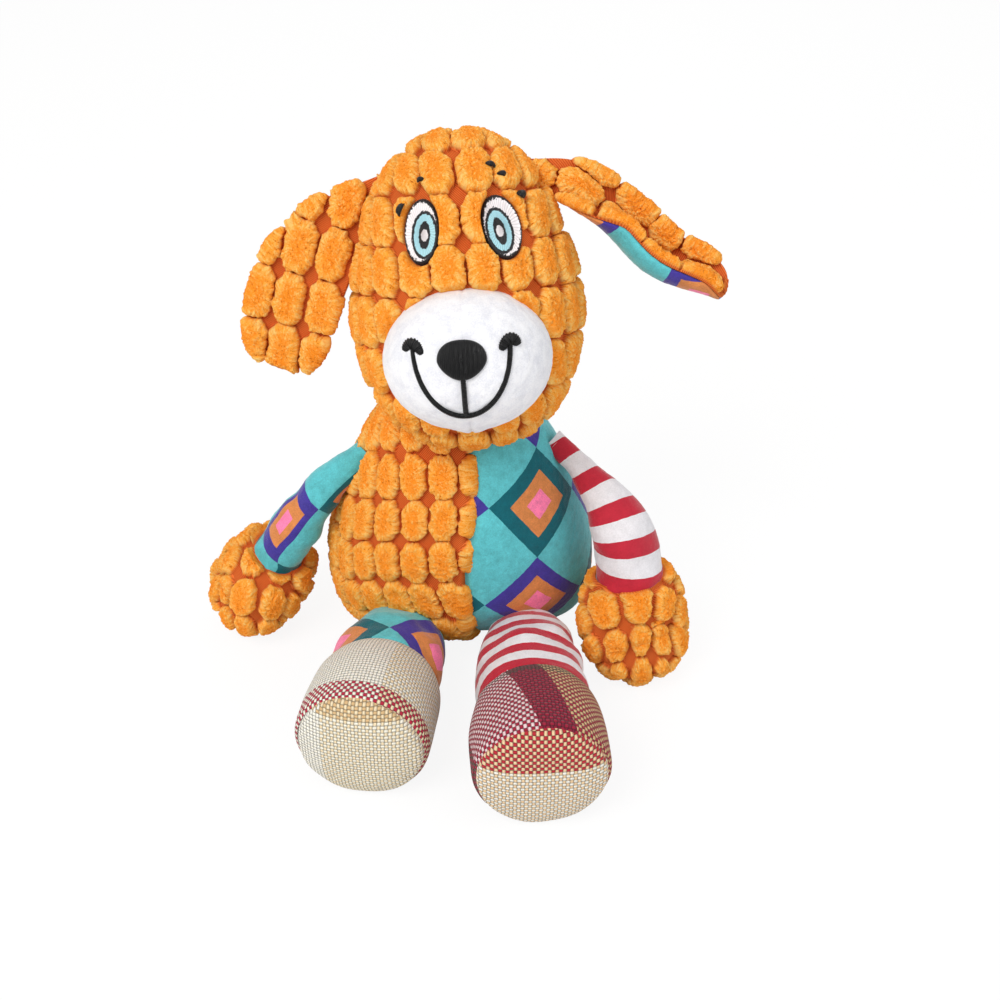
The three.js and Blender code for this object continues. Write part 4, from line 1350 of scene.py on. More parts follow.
@dataclass
class Eye:
    """One embroidered eye, an oval whose top leans towards the other."""

    side: Side
    half_width: float = 5.6
    half_height: float = 10.4
    apart: float = 12.45
    aside: float = 0.9
    lift: float = 20.0
    slant_degrees: float = 6.0
    rise: float = 1.5
    rim_lift: float = 0.35
    rim_band: Pair = (0.8, 0.88)
    edge_share: float = 0.13
    ridge: float = 0.06
    stitches: int = 60
    rings: int = 34
    around: int = 150

    @property
    def turn(self) -> float:
        """The oval's slant, in radians."""
        return math.radians(self.side.value * self.slant_degrees)

    def local(self, x: Array, z: Array) -> tuple[Array, Array]:
        """Places in the head's frame as places in the eye's own, across and up from its middle."""
        sine, cosine = math.sin(self.turn), math.cos(self.turn)
        x, z = x - self.aside - self.side.value * self.apart, z - self.lift
        return x * cosine + z * sine, z * cosine - x * sine

    def reach(self, x: Array, z: Array) -> Array:
        """How far out a place lies in the eye's oval, 1 at its edge."""
        across, up = self.local(x, z)
        return np.hypot(across / self.half_width, up / self.half_height)

    def build(self, head: Head) -> None:
        """Makes the eye's stitching on the head's cloth."""
        sine, cosine = math.sin(self.turn), math.cos(self.turn)
        share = np.linspace(0.01, 1.0, self.rings)[:, None]
        angle = np.linspace(0, 2 * math.pi, self.around)[None, :]
        across = self.half_width * share * np.cos(angle)
        up = self.half_height * share * np.sin(angle)
        x = self.aside + self.side.value * self.apart + across * cosine - up * sine
        z = self.lift + across * sine + up * cosine
        base, normal = head.surface(x, z)
        rim = smooth(*self.rim_band, share) * self.rim_lift
        ridge = self.ridge * np.sin(angle * self.stitches) * smooth(0.1, 0.4, share)
        edge = np.clip((share - self.rim_band[1]) / self.edge_share, 0, 1)
        height = self.rise * np.sqrt(1 - edge**2) + rim + ridge
        points = base + normal * height[..., None]
        name = self.side.label
        piece = sewn(f"{name}_eye", Sheet(base, normal, across, up), points, closed=True)
        finish = EyeStitch(self.half_width, self.half_height, -self.side.value)
        material = finish.make(f"eye_stitch_{name}")
        place_piece(piece, "head", material, (f"{name}_eye_patch",), "blue_thread")


@dataclass
class Brow:
    """A broken brow: short black stitches that show between the tufts over an eye.

    Each stitch has a place across and up, an angle in degrees, a length and a width.
    """

    side: Side
    stitches: tuple[tuple[float, float, float, float, float], ...]
    lift: float = 4.6
    end_dip: float = 0.25
    thickness: float = 0.9
    least_half: float = 0.05

    def stitch(
        self, head: Head, x: float, z: float, degrees: float, length: float, width: float
    ) -> Piece:
        """Makes one stitch."""
        turn = np.linspace(0, math.pi, 9)[None, :]
        run = np.linspace(-1, 1, 25)[:, None]
        cosine, sine = math.cos(math.radians(degrees)), math.sin(math.radians(degrees))
        oval = np.sqrt(np.clip(1 - run**2, 0, 1))
        half = width / 2 * oval + self.least_half
        across = x + cosine * run * length / 2 - sine * half * np.cos(turn)
        up = z + sine * run * length / 2 + cosine * half * np.cos(turn)
        base, normal = head.surface(across, up)
        height = self.lift * (1 - self.end_dip * run**2) + self.thickness * np.sin(turn) * oval
        sheet = Sheet(base, normal, run * np.ones_like(turn), turn * np.ones_like(run))
        return sewn("stitch", sheet, base + normal * height[..., None])

    def build(self, head: Head, finishes: Finishes) -> None:
        """Makes the stitches as one piece."""
        piece = joined(f"{self.side.label}_brow", [self.stitch(head, *stitch) for stitch in self.stitches])
        place_piece(piece, "head", finishes.black)


@dataclass(frozen=True)
class Dimple:
    """The short bowed stitch at each end of the smile, in millimetres."""

    half_length: float = 2.8
    width: float = 3.5
    least_width: float = 0.2
    roundness: float = 0.7
    lift: float = 1.4
    bow: float = 2.6
    tilt: float = 0.5

    def path(self, side: Side, across: float, up: float) -> tuple[Array, Array]:
        """Its places and its widths, at a corner of the smile."""
        bend = np.linspace(-1, 1, 90)
        x = side.value * across + self.half_length * bend
        z = up + self.lift - self.bow * bend**2 + self.tilt * side.value * bend
        width = self.width * np.sqrt(np.clip(1 - bend**2, 0, 1)) ** self.roundness + self.least_width
        return np.stack([x, z], axis=-1), width


@dataclass
class Muzzle:
    """The white muzzle: a dome of short pile with a seam down its middle, a nose and a smile."""

    head: Head
    half_width: float = 27.3
    half_height: float = 24.0
    reach: float = 55.0
    drop: float = 21.0
    rings: int = 150
    around: int = 300
    nose_half_width: float = 7.9
    nose_half_height: float = 6.3
    nose_lift: float = 2.8
    nose_thickness: float = 2.0
    nose_height: float = 0.1
    nose_taper: float = 0.3
    nose_taper_power: float = 1.2
    nose_corners: Pair = (0.86, 0.92)
    nose_rib: float = 0.07
    nose_rib_pitch: float = 0.6
    aside: float = -1.0
    smile_half_width: float = 15.1
    smile_drop: float = 22.0
    smile_lift: float = 6.5
    thread: float = 1.55
    thread_rise: float = 0.95
    thread_lift: float = 0.4
    thread_rib: float = 0.09
    thread_rib_pitch: float = 0.55
    upright_overlap: float = 0.6
    upright_share: float = 1.05
    dimple: Dimple = Dimple()
    chin_point: float = 0.045
    chin_spread: float = 0.16
    seam_width: float = 0.55
    seam_depth: float = 0.4
    dart_width: float = 0.8
    dart_depth: float = 0.8
    dart_band: Pair = (-15.0, -21.0)
    cheek_swell: float = 0.5
    cheek_drop: float = 4.0
    cheek_across: Pair = (3.0, 12.0)
    cheek_up: Pair = (24.0, 6.0)
    forward_shares: tuple[Pair, ...] = (
        (0.0, 1.0),
        (0.2, 0.99),
        (0.48, 0.95),
        (0.74, 0.87),
        (0.91, 0.76),
        (0.99, 0.64),
        (1.0, 0.5),
        (0.95, 0.3),
    )

    def __post_init__(self) -> None:
        """Samples the dome's outline."""
        self.samples = curve_through(self.forward_shares)

    def forward_at(self, share: Array) -> Array:
        """How far forward the dome lies, as a share of its reach, at a share of its radius."""
        rising = self.samples[: int(np.argmax(self.samples[:, 0])) + 1]
        return np.interp(share, rising[:, 0], rising[:, 1])

    def depth_at(self, across: Array, up: Array) -> Array:
        """How far forward the dome's cloth lies."""
        return self.reach * self.forward_at(np.hypot(across / self.half_width, up / self.half_height))

    def surface(self, x: Array, z: Array) -> tuple[Array, Array]:
        """Places and outward directions on the dome, at places across and up from its middle."""
        return self.head.frame.facing(self.depth_at, x, z, self.drop, 0.25)

    def build(self, finishes: Finishes) -> None:
        """Makes the dome, the nose and the smile."""
        self.build_dome(finishes)
        self.build_nose(finishes)
        self.build_smile(finishes)

    def build_dome(self, finishes: Finishes) -> None:
        """Makes the white dome, drawn in along its middle seam and at the dart under the chin."""
        profile = at_shares(self.samples, np.linspace(0, 1, self.rings))
        share, forward = np.maximum(profile[:, 0:1], 0.002), profile[:, 1:2]
        angle = np.linspace(0, 2 * math.pi, self.around)[None, :]
        chin = 1 + self.chin_point * np.exp(-(((angle - 1.5 * math.pi) / self.chin_spread) ** 2))
        x = share * self.half_width * np.cos(angle)
        z = share * self.half_height * np.sin(angle) * chin
        local = np.stack(np.broadcast_arrays(x, -self.reach * forward, z - self.drop), axis=-1)
        frame = self.head.frame
        away = local - np.array([0, -0.3 * self.reach, -self.drop])
        sheet = Sheet(frame.place(local), frame.direction(away), x, z)
        seam = np.exp(-((x / self.seam_width) ** 2)) * (z > self.nose_lift) * self.seam_depth
        dart = np.exp(-((x / self.dart_width) ** 2)) * smooth(*self.dart_band, z) * self.dart_depth
        swell = self.cheek_swell * smooth(*self.cheek_across, abs(x))
        swell = swell * smooth(*self.cheek_up, abs(z + self.cheek_drop))
        points = napped(sheet, swell - seam - dart, nap=0.14, seed=60)
        piece = sewn("muzzle_dome", sheet, points, closed=True)
        place_piece(piece, "head", finishes.white, ("muzzle_skin",), "white_pile")

    def build_nose(self, finishes: Finishes) -> None:
        """Makes the nose: a padded satin triangle with round corners."""
        share = np.linspace(0.01, 1, 40)[:, None]
        angle = np.linspace(0, 2 * math.pi, 160)[None, :]
        sine, cosine = np.sin(angle), np.cos(angle)
        narrow = 1 - self.nose_taper * np.clip(-sine, 0, 1) ** self.nose_taper_power
        wide, high = self.nose_corners
        x = self.nose_half_width * share * (np.sign(cosine) * abs(cosine) ** wide * narrow)
        z = self.nose_lift + self.nose_half_height * share * (np.sign(sine) * abs(sine) ** high)
        base, normal = self.surface(x + self.aside, z)
        ribs = self.nose_rib * np.sin(x * 2 * math.pi / self.nose_rib_pitch)
        height = self.nose_thickness * (1 - share**5) ** 0.5 + ribs * (1 - share**8)
        points = base + normal * (height + self.nose_height)[..., None]
        piece = sewn("nose", Sheet(base, normal, x, z), points, closed=True)
        place_piece(piece, "head", finishes.black, ("nose_pad",), "black_thread")

    def thread_along(self, name: str, path: Array, width: Array) -> Piece:
        """Makes a raised line of satin stitch on the dome.

        Args:
            name: What the piece is called.
            path: Places across and up from the muzzle's middle, one row each.
            width: The line's width at each.

        Returns:
            The piece, bare.
        """
        ahead = unit(np.gradient(path, axis=0))
        beside = np.stack([-ahead[:, 1], ahead[:, 0]], axis=-1)
        angle = np.linspace(0, math.pi, 13)[None, :]
        run = np.concatenate([[0], np.cumsum(np.linalg.norm(np.diff(path, axis=0), axis=1))])[:, None]
        ridge = 1 + self.thread_rib * np.sin(run * 2 * math.pi / self.thread_rib_pitch)
        half = width[:, None] / 2 * ridge
        x = path[:, 0:1] + beside[:, 0:1] * half * np.cos(angle)
        z = path[:, 1:2] + beside[:, 1:2] * half * np.cos(angle)
        base, normal = self.surface(x + self.aside, z)
        height = self.thread_rise * np.sin(angle) * ridge * np.clip(width[:, None] / self.thread, 0, 1)
        sheet = Sheet(base, normal, np.broadcast_to(run, x.shape), np.broadcast_to(angle, x.shape))
        return sewn(name, sheet, base + normal * (height + self.thread_lift)[..., None])

    def build_smile(self, finishes: Finishes) -> None:
        """Makes the smile, the line up to the nose and the two dimples."""
        lift = self.smile_lift
        angle = np.linspace(math.pi, 2 * math.pi, 420)
        arc = (self.smile_half_width * np.cos(angle), lift + self.smile_drop * np.sin(angle))
        smile = np.stack(arc, axis=-1)
        pieces = [self.thread_along("smile_line", smile, np.full(len(smile), self.thread))]
        bottom = lift - self.smile_drop
        top = self.nose_lift - self.nose_half_height + self.upright_overlap
        line = np.stack([np.zeros(100), np.linspace(bottom, top, 100)], axis=-1)
        width = np.full(len(line), self.thread * self.upright_share)
        pieces.append(self.thread_along("smile_upright", line, width))
        for side in Side:
            path, width = self.dimple.path(side, self.smile_half_width, lift)
            pieces.append(self.thread_along(f"{side.label}_dimple", path, width))
        place_piece(joined("mouth", pieces), "head", finishes.black, ("mouth_stitch",), "black_thread")


@dataclass
class Ear:
    """One ear: a tufted face and a lining, curled along its length.

    Each row of shares has its place along the ear, its half width, its fullness and its curl.
    """

    side: Side
    pivot: Array
    head: HeadFrame
    spine_shares: tuple[Triple, ...]
    face_shares: Triple
    curl_degrees: float
    half_width: float
    cloth_turn: float | None = None
    tuft_pitch: Pair = (12.2, 18.2)
    tuft_start: Pair = (0.5, 0.5)
    length: float = 88.0
    lining: float = 2.0
    face: float = 1.4
    rim_keep: float = 0.45
    root_keep: float = 1.0
    tip_keep: float = 3.5
    shares: tuple[tuple[float, float, float, float], ...] = (
        (0.0, 0.36, 0.5, 0.0),
        (0.12, 0.4, 0.55, 0.1),
        (0.28, 0.7, 0.85, 0.6),
        (0.45, 0.95, 1.0, 1.0),
        (0.62, 1.0, 1.0, 1.0),
        (0.78, 0.94, 1.0, 1.0),
        (0.9, 0.72, 0.95, 0.9),
        (0.97, 0.42, 0.8, 0.6),
        (1.0, 0.06, 0.5, 0.3),
    )

    def strip(self, below: bool) -> Sheet:
        """One side of the ear as a curled strip, its edges turned towards the other side."""
        spine = curve_through(np.array(self.spine_shares) * self.length + self.pivot)
        rows = curve_through(np.array(self.shares) * np.array([self.length, self.half_width, 1, 1]))
        count = int(length_of(rows[:, :2]) / PILE_SPACING)
        table = at_shares(rows, np.linspace(0, 1, count))
        at = np.clip(table[:, 0] / self.length, 0, 1)
        half = np.maximum(table[:, 1], 0.05)
        bent = np.clip(table[:, 3], 0, 1)
        centre = at_shares(spine, at)
        ahead = unit(at_shares(spine, at + 0.01) - at_shares(spine, at - 0.01))
        root_face = self.head.direction(np.array([[0.0, -1.0, 0.0]]))
        paddle = unit(np.array([self.face_shares]))
        face = root_face * (1 - bent[:, None]) + paddle * bent[:, None]
        face = unit(face - ahead * np.sum(face * ahead, axis=1, keepdims=True))[:, None]
        beside = np.cross(face, ahead[:, None])
        curl = np.radians(1 + self.curl_degrees * bent / 2)[:, None]
        turn = np.linspace(-1, 1, int(2.5 * self.half_width / PILE_SPACING))[None, :]
        angle, radius = np.sin(turn * math.pi / 2) * curl, (half[:, None] / curl)[..., None]
        sine, cosine = np.sin(angle)[..., None], np.cos(angle)[..., None]
        normal = face * cosine - beside * sine
        sign = -1 if below else 1
        full = (self.lining if below else self.face) * np.cos(turn * math.pi / 2) ** 0.5 * table[:, 2:3]
        curled = centre[:, None] + beside * radius * sine + face * radius * (1 - cosine)
        points = curled + normal * (sign * full)[..., None]
        rim = np.sign(turn) * np.clip((abs(turn) - 0.8) / 0.2, 0, 1) ** 2
        across, along = lay_cloth(points)
        return Sheet(points, normal * sign + beside * rim[..., None], across, along)

    def lay_straight(self, sheet: Sheet) -> None:
        """Runs the cloth's own directions straight over the ear, turned from the level."""
        face = unit(np.array(self.face_shares))
        level = unit(np.array([1.0, 0.0, 0.0]) - face * face[0])
        down = np.cross(level, face)
        turn = math.radians(self.cloth_turn)
        from_root = sheet.points - self.pivot
        sheet.across = from_root @ (level * math.cos(turn) + down * math.sin(turn))
        sheet.along = from_root @ (down * math.cos(turn) - level * math.sin(turn))

    def kept_pile(self, sheet: Sheet) -> Array:
        """How much of the pile stands: it thins out towards the rim, the root and the tip."""
        edge = np.minimum(sheet.across - sheet.across[:, :1], sheet.across[:, -1:] - sheet.across)
        from_tip = sheet.along[-1:, :] - sheet.along
        ends = smooth(0, self.root_keep, sheet.along) * smooth(0, self.tip_keep, from_tip)
        return smooth(0, self.rim_keep, edge) * ends

    def build(self, finishes: Finishes, lining: Material, slot: str) -> None:
        """Makes the ear's two sides.

        Args:
            finishes: The shared cloths.
            lining: The finish of the underside.
            slot: The record's slot that the lining takes its finish from.
        """
        name = self.side.label
        top = self.strip(below=False)
        keep = self.kept_pile(top)
        if self.cloth_turn is not None:
            self.lay_straight(top)
        across, along = self.tuft_start
        seed = 21 + self.side.value
        layout = TuftLayout(*self.tuft_pitch, start_across=across, start_along=along, seed=seed)
        points, looks = layout.raise_pile(top, keep)
        piece = sewn(f"{name}_ear_face", top, points, looks)
        place_piece(piece, f"{name}_ear", finishes.plush, (f"{name}_ear_plush",), "plush")
        under = self.strip(below=True)
        piece = sewn(f"{name}_ear_back", under, napped(under, seed=70))
        place_piece(piece, f"{name}_ear", lining, (f"{name}_ear_lining",), slot)


def level_way(degrees: float) -> Array:
    """The level direction at an angle from X."""
    turn = math.radians(degrees)
    return np.array([math.cos(turn), math.sin(turn), 0])


@dataclass
class Limb:
    """A stuffed limb: ovals along a curved spine, and a round root behind its start.

    Each row is a share of the spine, and a half width and a half depth in millimetres.
    """

    spine: Array
    rows: tuple[Triple, ...]
    root_turns: tuple[float, ...] = (0.05, 0.4, 0.8, 1.2)

    def profile(self, start: float, end: float, spacing: float) -> Array:
        """Samples the limb's places along, half widths and half depths between two shares."""
        length, root = length_of(self.spine), self.rows[0][1]
        back = [(-root * math.cos(turn), root * math.sin(turn)) for turn in self.root_turns]
        rows = [(at, radius, radius) for at, radius in back]
        rows += [(at * length, wide, deep) for at, wide, deep in self.rows]
        table = curve_through(rows)
        table = table[(table[:, 0] >= start * length - 1e-6) & (table[:, 0] <= end * length + 1e-6)]
        count = max(int(length_of(table[:, :2]) / spacing), 6)
        return at_shares(table, np.linspace(0, 1, count))

    def sheet(self, start: float, end: float, spacing: float) -> Sheet:
        """The limb's bare cloth between two shares of its length.

        Args:
            start: Where the sheet starts, as a share of the spine: its round root lies below 0.
            end: Where it ends.
            spacing: How far apart its points are.

        Returns:
            The sheet, closed round the limb, with its first column underneath.
        """
        length = length_of(self.spine)
        profile = self.profile(start, end, spacing)
        at = profile[:, 0] / length
        wide, deep = np.maximum(profile[:, 1:2], THINNEST), np.maximum(profile[:, 2:3], THINNEST)
        before, after = (at_shares(self.spine, np.clip(at + step, 0, 1)) for step in (-0.01, 0.01))
        ahead = unit(after - before)
        centre = at_shares(self.spine, at) + ahead * (np.minimum(at, 0) * length)[:, None]
        beside = unit(np.cross(np.array([0.0, 0.0, 1.0]), ahead))
        through = np.cross(ahead, beside)[:, None]
        columns = int(2 * math.pi * max(float(wide.max()), float(deep.max())) / spacing)
        angle = 2 * math.pi * (np.linspace(0, 1, columns) - 0.25)[None, :]
        out = beside[:, None] * (wide * np.cos(angle))[..., None]
        out = out + through * (deep * np.sin(angle))[..., None]
        points = centre[:, None] + out
        lead = np.gradient(profile[:, 1]) / np.maximum(abs(np.gradient(profile[:, 0])), 1e-3)
        away = unit(out) - ahead[:, None] * np.clip(lead, -6, 6)[:, None, None]
        across, along = lay_cloth(points)
        return Sheet(points, away, across, along)


@dataclass
class Arm:
    """One arm: a cloth sleeve over its filling, and a tufted hand that lies on the floor."""

    side: Side
    pivot: Array
    heading_degrees: float
    tip_heading_degrees: float
    bow_shares: tuple[Triple, Triple]
    sleeve_rows: tuple[Pair, ...]
    palm_shift: Triple = (0.0, 0.0, 0.0)
    wrist_share: float = 0.62
    cloth_turn: float = 0.0
    tuft_start: Pair = (0.5, 0.5)
    tuft_pitch: Pair = (11.6, 15.4)
    reach: float = 81.0
    flat_share: float = 0.92
    hand_half_width: float = 18.5
    hand_half_depth: float = 15.0
    past_centre: float = 15.0
    droop: float = 7.5
    pile: float = 4.0
    floor_cut: float = 0.5
    gather: float = 0.5
    gather_band: Pair = (8.0, 1.0)
    gather_ripple: float = 0.06
    ripple_turns: float = 0.9
    crease: float = 1.12
    crease_size: float = 8.0
    crease_squeeze: Triple = (0.7, 0.7, 1.2)
    tuck: float = 3.2
    tuck_reach: float = 2.2
    hem_band: Pair = (0.5, 3.0)
    hand_face: Triple = (0.0, -0.55, 0.84)
    hand_shares: tuple[Pair, ...] = (
        (0.19, 0.93),
        (0.47, 1.0),
        (0.72, 0.9),
        (0.89, 0.66),
        (0.97, 0.34),
    )

    def limb(self) -> Limb:
        """The arm's form, as the frame has it but for the lie of its cloth."""
        heading, tip_heading = level_way(self.heading_degrees), level_way(self.tip_heading_degrees)
        hand_lift = self.hand_half_depth + self.pile - self.floor_cut
        out = math.sqrt(self.reach**2 - (self.pivot[2] - hand_lift) ** 2)
        below = np.array([self.pivot[0], self.pivot[1], hand_lift])
        palm = below + heading * out + np.array(self.palm_shift)
        bows = np.array(self.bow_shares) * self.reach
        knots = [self.pivot + (palm - self.pivot) * share + bow for share, bow in zip((1 / 3, 2 / 3), bows)]
        tip = palm + tip_heading * self.past_centre - np.array([0, 0, self.droop])
        rest = 1 - self.wrist_share
        wide, deep = self.hand_half_width, self.hand_half_depth
        sleeve = [(at, half, half * self.flat_share) for at, half in self.sleeve_rows]
        hand = [(self.wrist_share + rest * at, share * wide, share * deep) for at, share in self.hand_shares]
        spine = curve_through([self.pivot, *knots, palm, tip])
        return Limb(spine, (*sleeve, *hand, (1.0, THINNEST, THINNEST)))

    def lay_panels(self, hand: Sheet) -> None:
        """Gives the hand the cloth directions of two flat panels that are sewn together round its rim."""
        turn = math.radians(self.cloth_turn)
        face, level = unit(np.array(self.hand_face)), np.array([1.0, 0.0, 0.0])
        up = np.cross(face, level)
        sides = [level * math.cos(turn) + up * math.sin(turn), up * math.cos(turn) - level * math.sin(turn)]
        middle = (hand.points.reshape(-1, 3).min(axis=0) + hand.points.reshape(-1, 3).max(axis=0)) / 2
        out = unit(hand.points - middle)
        flat = np.stack([out @ side for side in sides], axis=-1)
        tilt = np.arccos(np.clip(abs(out @ face), 0, 1))
        run = self.hand_half_width * tilt[..., None] * unit(flat)
        hand.across, hand.along = run[..., 0], run[..., 1]

    def build(self, finishes: Finishes, cloth: Material, slot: str) -> None:
        """Makes the sleeve, the hand and what fills them.

        Args:
            finishes: The shared cloths.
            cloth: The finish of the sleeve.
            slot: The record's slot of that finish.
        """
        limb = self.limb()
        self.build_sleeve(limb, cloth, slot)
        self.build_hand(limb, finishes)
        core = limb.sheet(-1.0, 1.0, FILLING_SPACING)
        inset = self.pile / 2 + self.floor_cut
        name = self.side.label
        points = on_floor(core.points - core.normals() * inset, inset)
        piece = sewn(f"{name}_arm_filling", core, points, closed=True)
        place_piece(piece, f"{name}_arm", finishes.filling, (f"{name}_arm_stuffing",), "filling")

    def build_sleeve(self, limb: Limb, cloth: Material, slot: str) -> None:
        """Makes the sleeve: creased, gathered towards the wrist and tucked in at its hem."""
        sleeve = limb.sheet(-1.0, self.wrist_share + 0.02, CLOTH_SPACING)
        from_hem = sleeve.along[-1:, :] - sleeve.along
        ripple = self.gather_ripple * np.cos(sleeve.across * self.ripple_turns)
        gathers = (self.gather + ripple) * smooth(*self.gather_band, from_hem)
        squeezed = sleeve.points * np.array(self.crease_squeeze)
        creases = self.crease * grain(squeezed, self.crease_size, 80 + self.side.value)
        tucked = -self.tuck * smooth(self.tuck_reach, 0, from_hem) ** 2
        name = self.side.label
        points = on_floor(napped(sleeve, gathers + creases + tucked))
        piece = sewn(f"{name}_sleeve", sleeve, points, closed=True)
        place_piece(piece, f"{name}_arm", cloth, (f"{name}_arm_sleeve",), slot)

    def build_hand(self, limb: Limb, finishes: Finishes) -> None:
        """Makes the tufted hand."""
        hand = limb.sheet(self.wrist_share - 0.01, 1.0, PILE_SPACING)
        keep = smooth(*self.hem_band, hand.along)
        self.lay_panels(hand)
        across, along = self.tuft_start
        seed = 31 + self.side.value
        layout = TuftLayout(
            *self.tuft_pitch, start_across=across, start_along=along, height=self.pile, seed=seed
        )
        points, looks = layout.raise_pile(hand, keep)
        name = self.side.label
        piece = sewn(f"{name}_hand", hand, on_floor(points), looks, closed=True)
        place_piece(piece, f"{name}_arm", finishes.plush, (f"{name}_arm_hand",), "plush")


@dataclass
class Leg:
    """One leg: a printed or striped cuff, a woven foot and its sole.

    Each tuck is how deep a cloth is drawn in at its seam and how far from it that begins.
    """

    side: Side
    pivot: Array
    length_share: float
    heading_degrees: float
    length: float = 44.0
    hip_radius: float = 9.5
    half_width: float = 20.5
    half_depth: float = 18.5
    foot_length: float = 42.0
    foot_half: float = 23.5
    sole_length: float = 6.0
    ankle_share: float = 0.88
    floor_cut: float = 0.5
    fold: float = 1.2
    fold_size: float = 8.0
    fold_squeeze: Triple = (0.7, 1.0, 1.0)
    cuff_tuck: Pair = (0.9, 2.5)
    ankle_tuck: Pair = (0.7, 2.0)
    toe_tuck: Pair = (0.8, 2.2)
    weave_lift: float = 0.35
    weave_swell: float = 0.5
    weave_swell_size: float = 11.0
    sole_swell_share: float = 0.8
    leg_shares: tuple[Triple, ...] = (
        (0.3, 0.83, 0.78),
        (0.55, 0.95, 0.94),
        (0.8, 1.0, 0.98),
        (1.0, 0.98, 1.0),
    )
    foot_shares: tuple[Triple, ...] = (
        (0.15, 0.94, 0.9),
        (0.38, 1.0, 0.98),
        (0.67, 1.0, 1.0),
        (0.857, 0.96, 0.96),
        (0.94, 0.75, 0.75),
        (0.985, 0.42, 0.42),
    )

    def limb(self) -> tuple[Limb, float, float]:
        """The leg's form, as the frame has it, and the shares where the foot and its sole start."""
        leg_length = self.length_share * self.length
        total = leg_length + self.foot_length
        heading = level_way(self.heading_degrees)
        lift = self.foot_half - self.floor_cut

        def at(distance: float, up: float) -> Array:
            """A place along the heading at a height."""
            place = self.pivot + heading * distance
            place[2] = up
            return place

        ankle, middle = at(leg_length, lift * self.ankle_share), at(leg_length + self.foot_length / 2, lift)
        spine = curve_through([self.pivot, ankle, middle, at(total, lift)])
        rows = [(0.0, self.hip_radius, self.hip_radius)]
        for share, wide, deep in self.leg_shares:
            rows.append((share * leg_length / total, wide * self.half_width, deep * self.half_depth))
        for share, wide, deep in self.foot_shares:
            place = (leg_length + share * self.foot_length) / total
            rows.append((place, wide * self.foot_half, deep * self.foot_half))
        rows.append((1.0, THINNEST, THINNEST))
        return Limb(spine, tuple(rows)), leg_length / total, (total - self.sole_length) / total

    def build(
        self, cloth: Material, slot: str, upper: Material, sole: Material
    ) -> None:
        """Makes the cuff, the foot's upper and its sole.

        Args:
            cloth: The finish of the cuff.
            slot: The record's slot of that finish.
            upper: The weave of the foot's upper.
            sole: The weave of the sole.
        """
        limb, cuff, toe = self.limb()
        self.build_cuff(limb.sheet(-1.0, cuff + 0.01, CLOTH_SPACING), cloth, slot)
        self.build_upper(limb.sheet(cuff - 0.002, toe + 0.004, WEAVE_SPACING), upper)
        self.build_sole(limb.sheet(toe - 0.004, 1.0, WEAVE_SPACING), sole)

    def place(
        self, piece: Piece, finish: Material, part: str, slot: str, fill: float = 0.8
    ) -> None:
        """Joins a piece to the leg in the place of one of the frame's nodes."""
        body = f"{self.side.label}_leg"
        place_piece(piece, body, finish, (f"{body}_{part}",), slot)

    @staticmethod
    def tucked(tuck: Pair, from_seam: Array) -> Array:
        """How far a cloth is drawn in near its seam."""
        depth, reach = tuck
        return depth * smooth(reach, 0, from_seam)

    def build_cuff(self, leg: Sheet, cloth: Material, slot: str) -> None:
        """Makes the leg's cloth, folded and tucked in at the foot."""
        from_hem = leg.along[-1:, :] - leg.along
        squeezed = leg.points * np.array(self.fold_squeeze)
        folds = self.fold * grain(squeezed, self.fold_size, 90 + self.side.value)
        points = napped(leg, folds - self.tucked(self.cuff_tuck, from_hem))
        piece = sewn(f"{self.side.label}_leg_cloth", leg, on_floor(points), closed=True)
        self.place(piece, cloth, "skin", slot, 0.7)

    def build_upper(self, foot: Sheet, weave: Material) -> None:
        """Makes the foot's upper, tucked in at both of its seams."""
        ankle_tuck = self.tucked(self.ankle_tuck, foot.along)
        toe_tuck = self.tucked(self.toe_tuck, foot.along[-1:, :] - foot.along)
        uneven = self.weave_swell * grain(foot.points, self.weave_swell_size, 95 + self.side.value)
        points = foot.lifted(self.weave_lift - ankle_tuck - toe_tuck + uneven)
        piece = sewn(f"{self.side.label}_foot_upper", foot, on_floor(points), closed=True)
        slot = "linen" if self.side is Side.RIGHT else "tweed"
        self.place(piece, weave, "foot_upper", slot)

    def build_sole(self, cap: Sheet, weave: Material) -> None:
        """Makes the sole, whose threads run level and upright."""
        ahead = level_way(self.heading_degrees)
        beside = np.array([-ahead[1], ahead[0], 0])
        cap.across = (cap.points - cap.points[-1, 0]) @ beside
        cap.along = cap.points[..., 2].copy()
        seam_tuck = self.tucked(self.toe_tuck, run_along(cap.points, 0))
        swell = self.sole_swell_share * self.weave_swell
        uneven = swell * grain(cap.points, self.weave_swell_size, 97)
        points = cap.lifted(self.weave_lift - seam_tuck + uneven)
        piece = sewn(f"{self.side.label}_foot_sole", cap, on_floor(points), closed=True)
        self.place(piece, weave, "foot_sole", "linen")


@dataclass
class Insides:
    """What the skins hide: the filling, the squeaker and its whistle."""

    frame: dict

    def build(self, finishes: Finishes) -> None:
        """Gives the frame's own hidden nodes their finishes."""
        plastic = PlainFinish(srgb(236, 233, 222), 0.4, 6.0, 0.05).make("squeaker_plastic")
        film = PlainFinish(srgb(222, 224, 226), 0.25, 4.0, 0.02).make("reed_film")
        for name, node in self.frame["nodes"].items():
            if "stuffing" in name:
                dress(node, finishes.filling)
            elif name.startswith("squeaker") or name in ("whistle_body", "whistle_cap"):
                dress(node, plastic)
            elif name == "whistle_reed":
                dress(node, film)


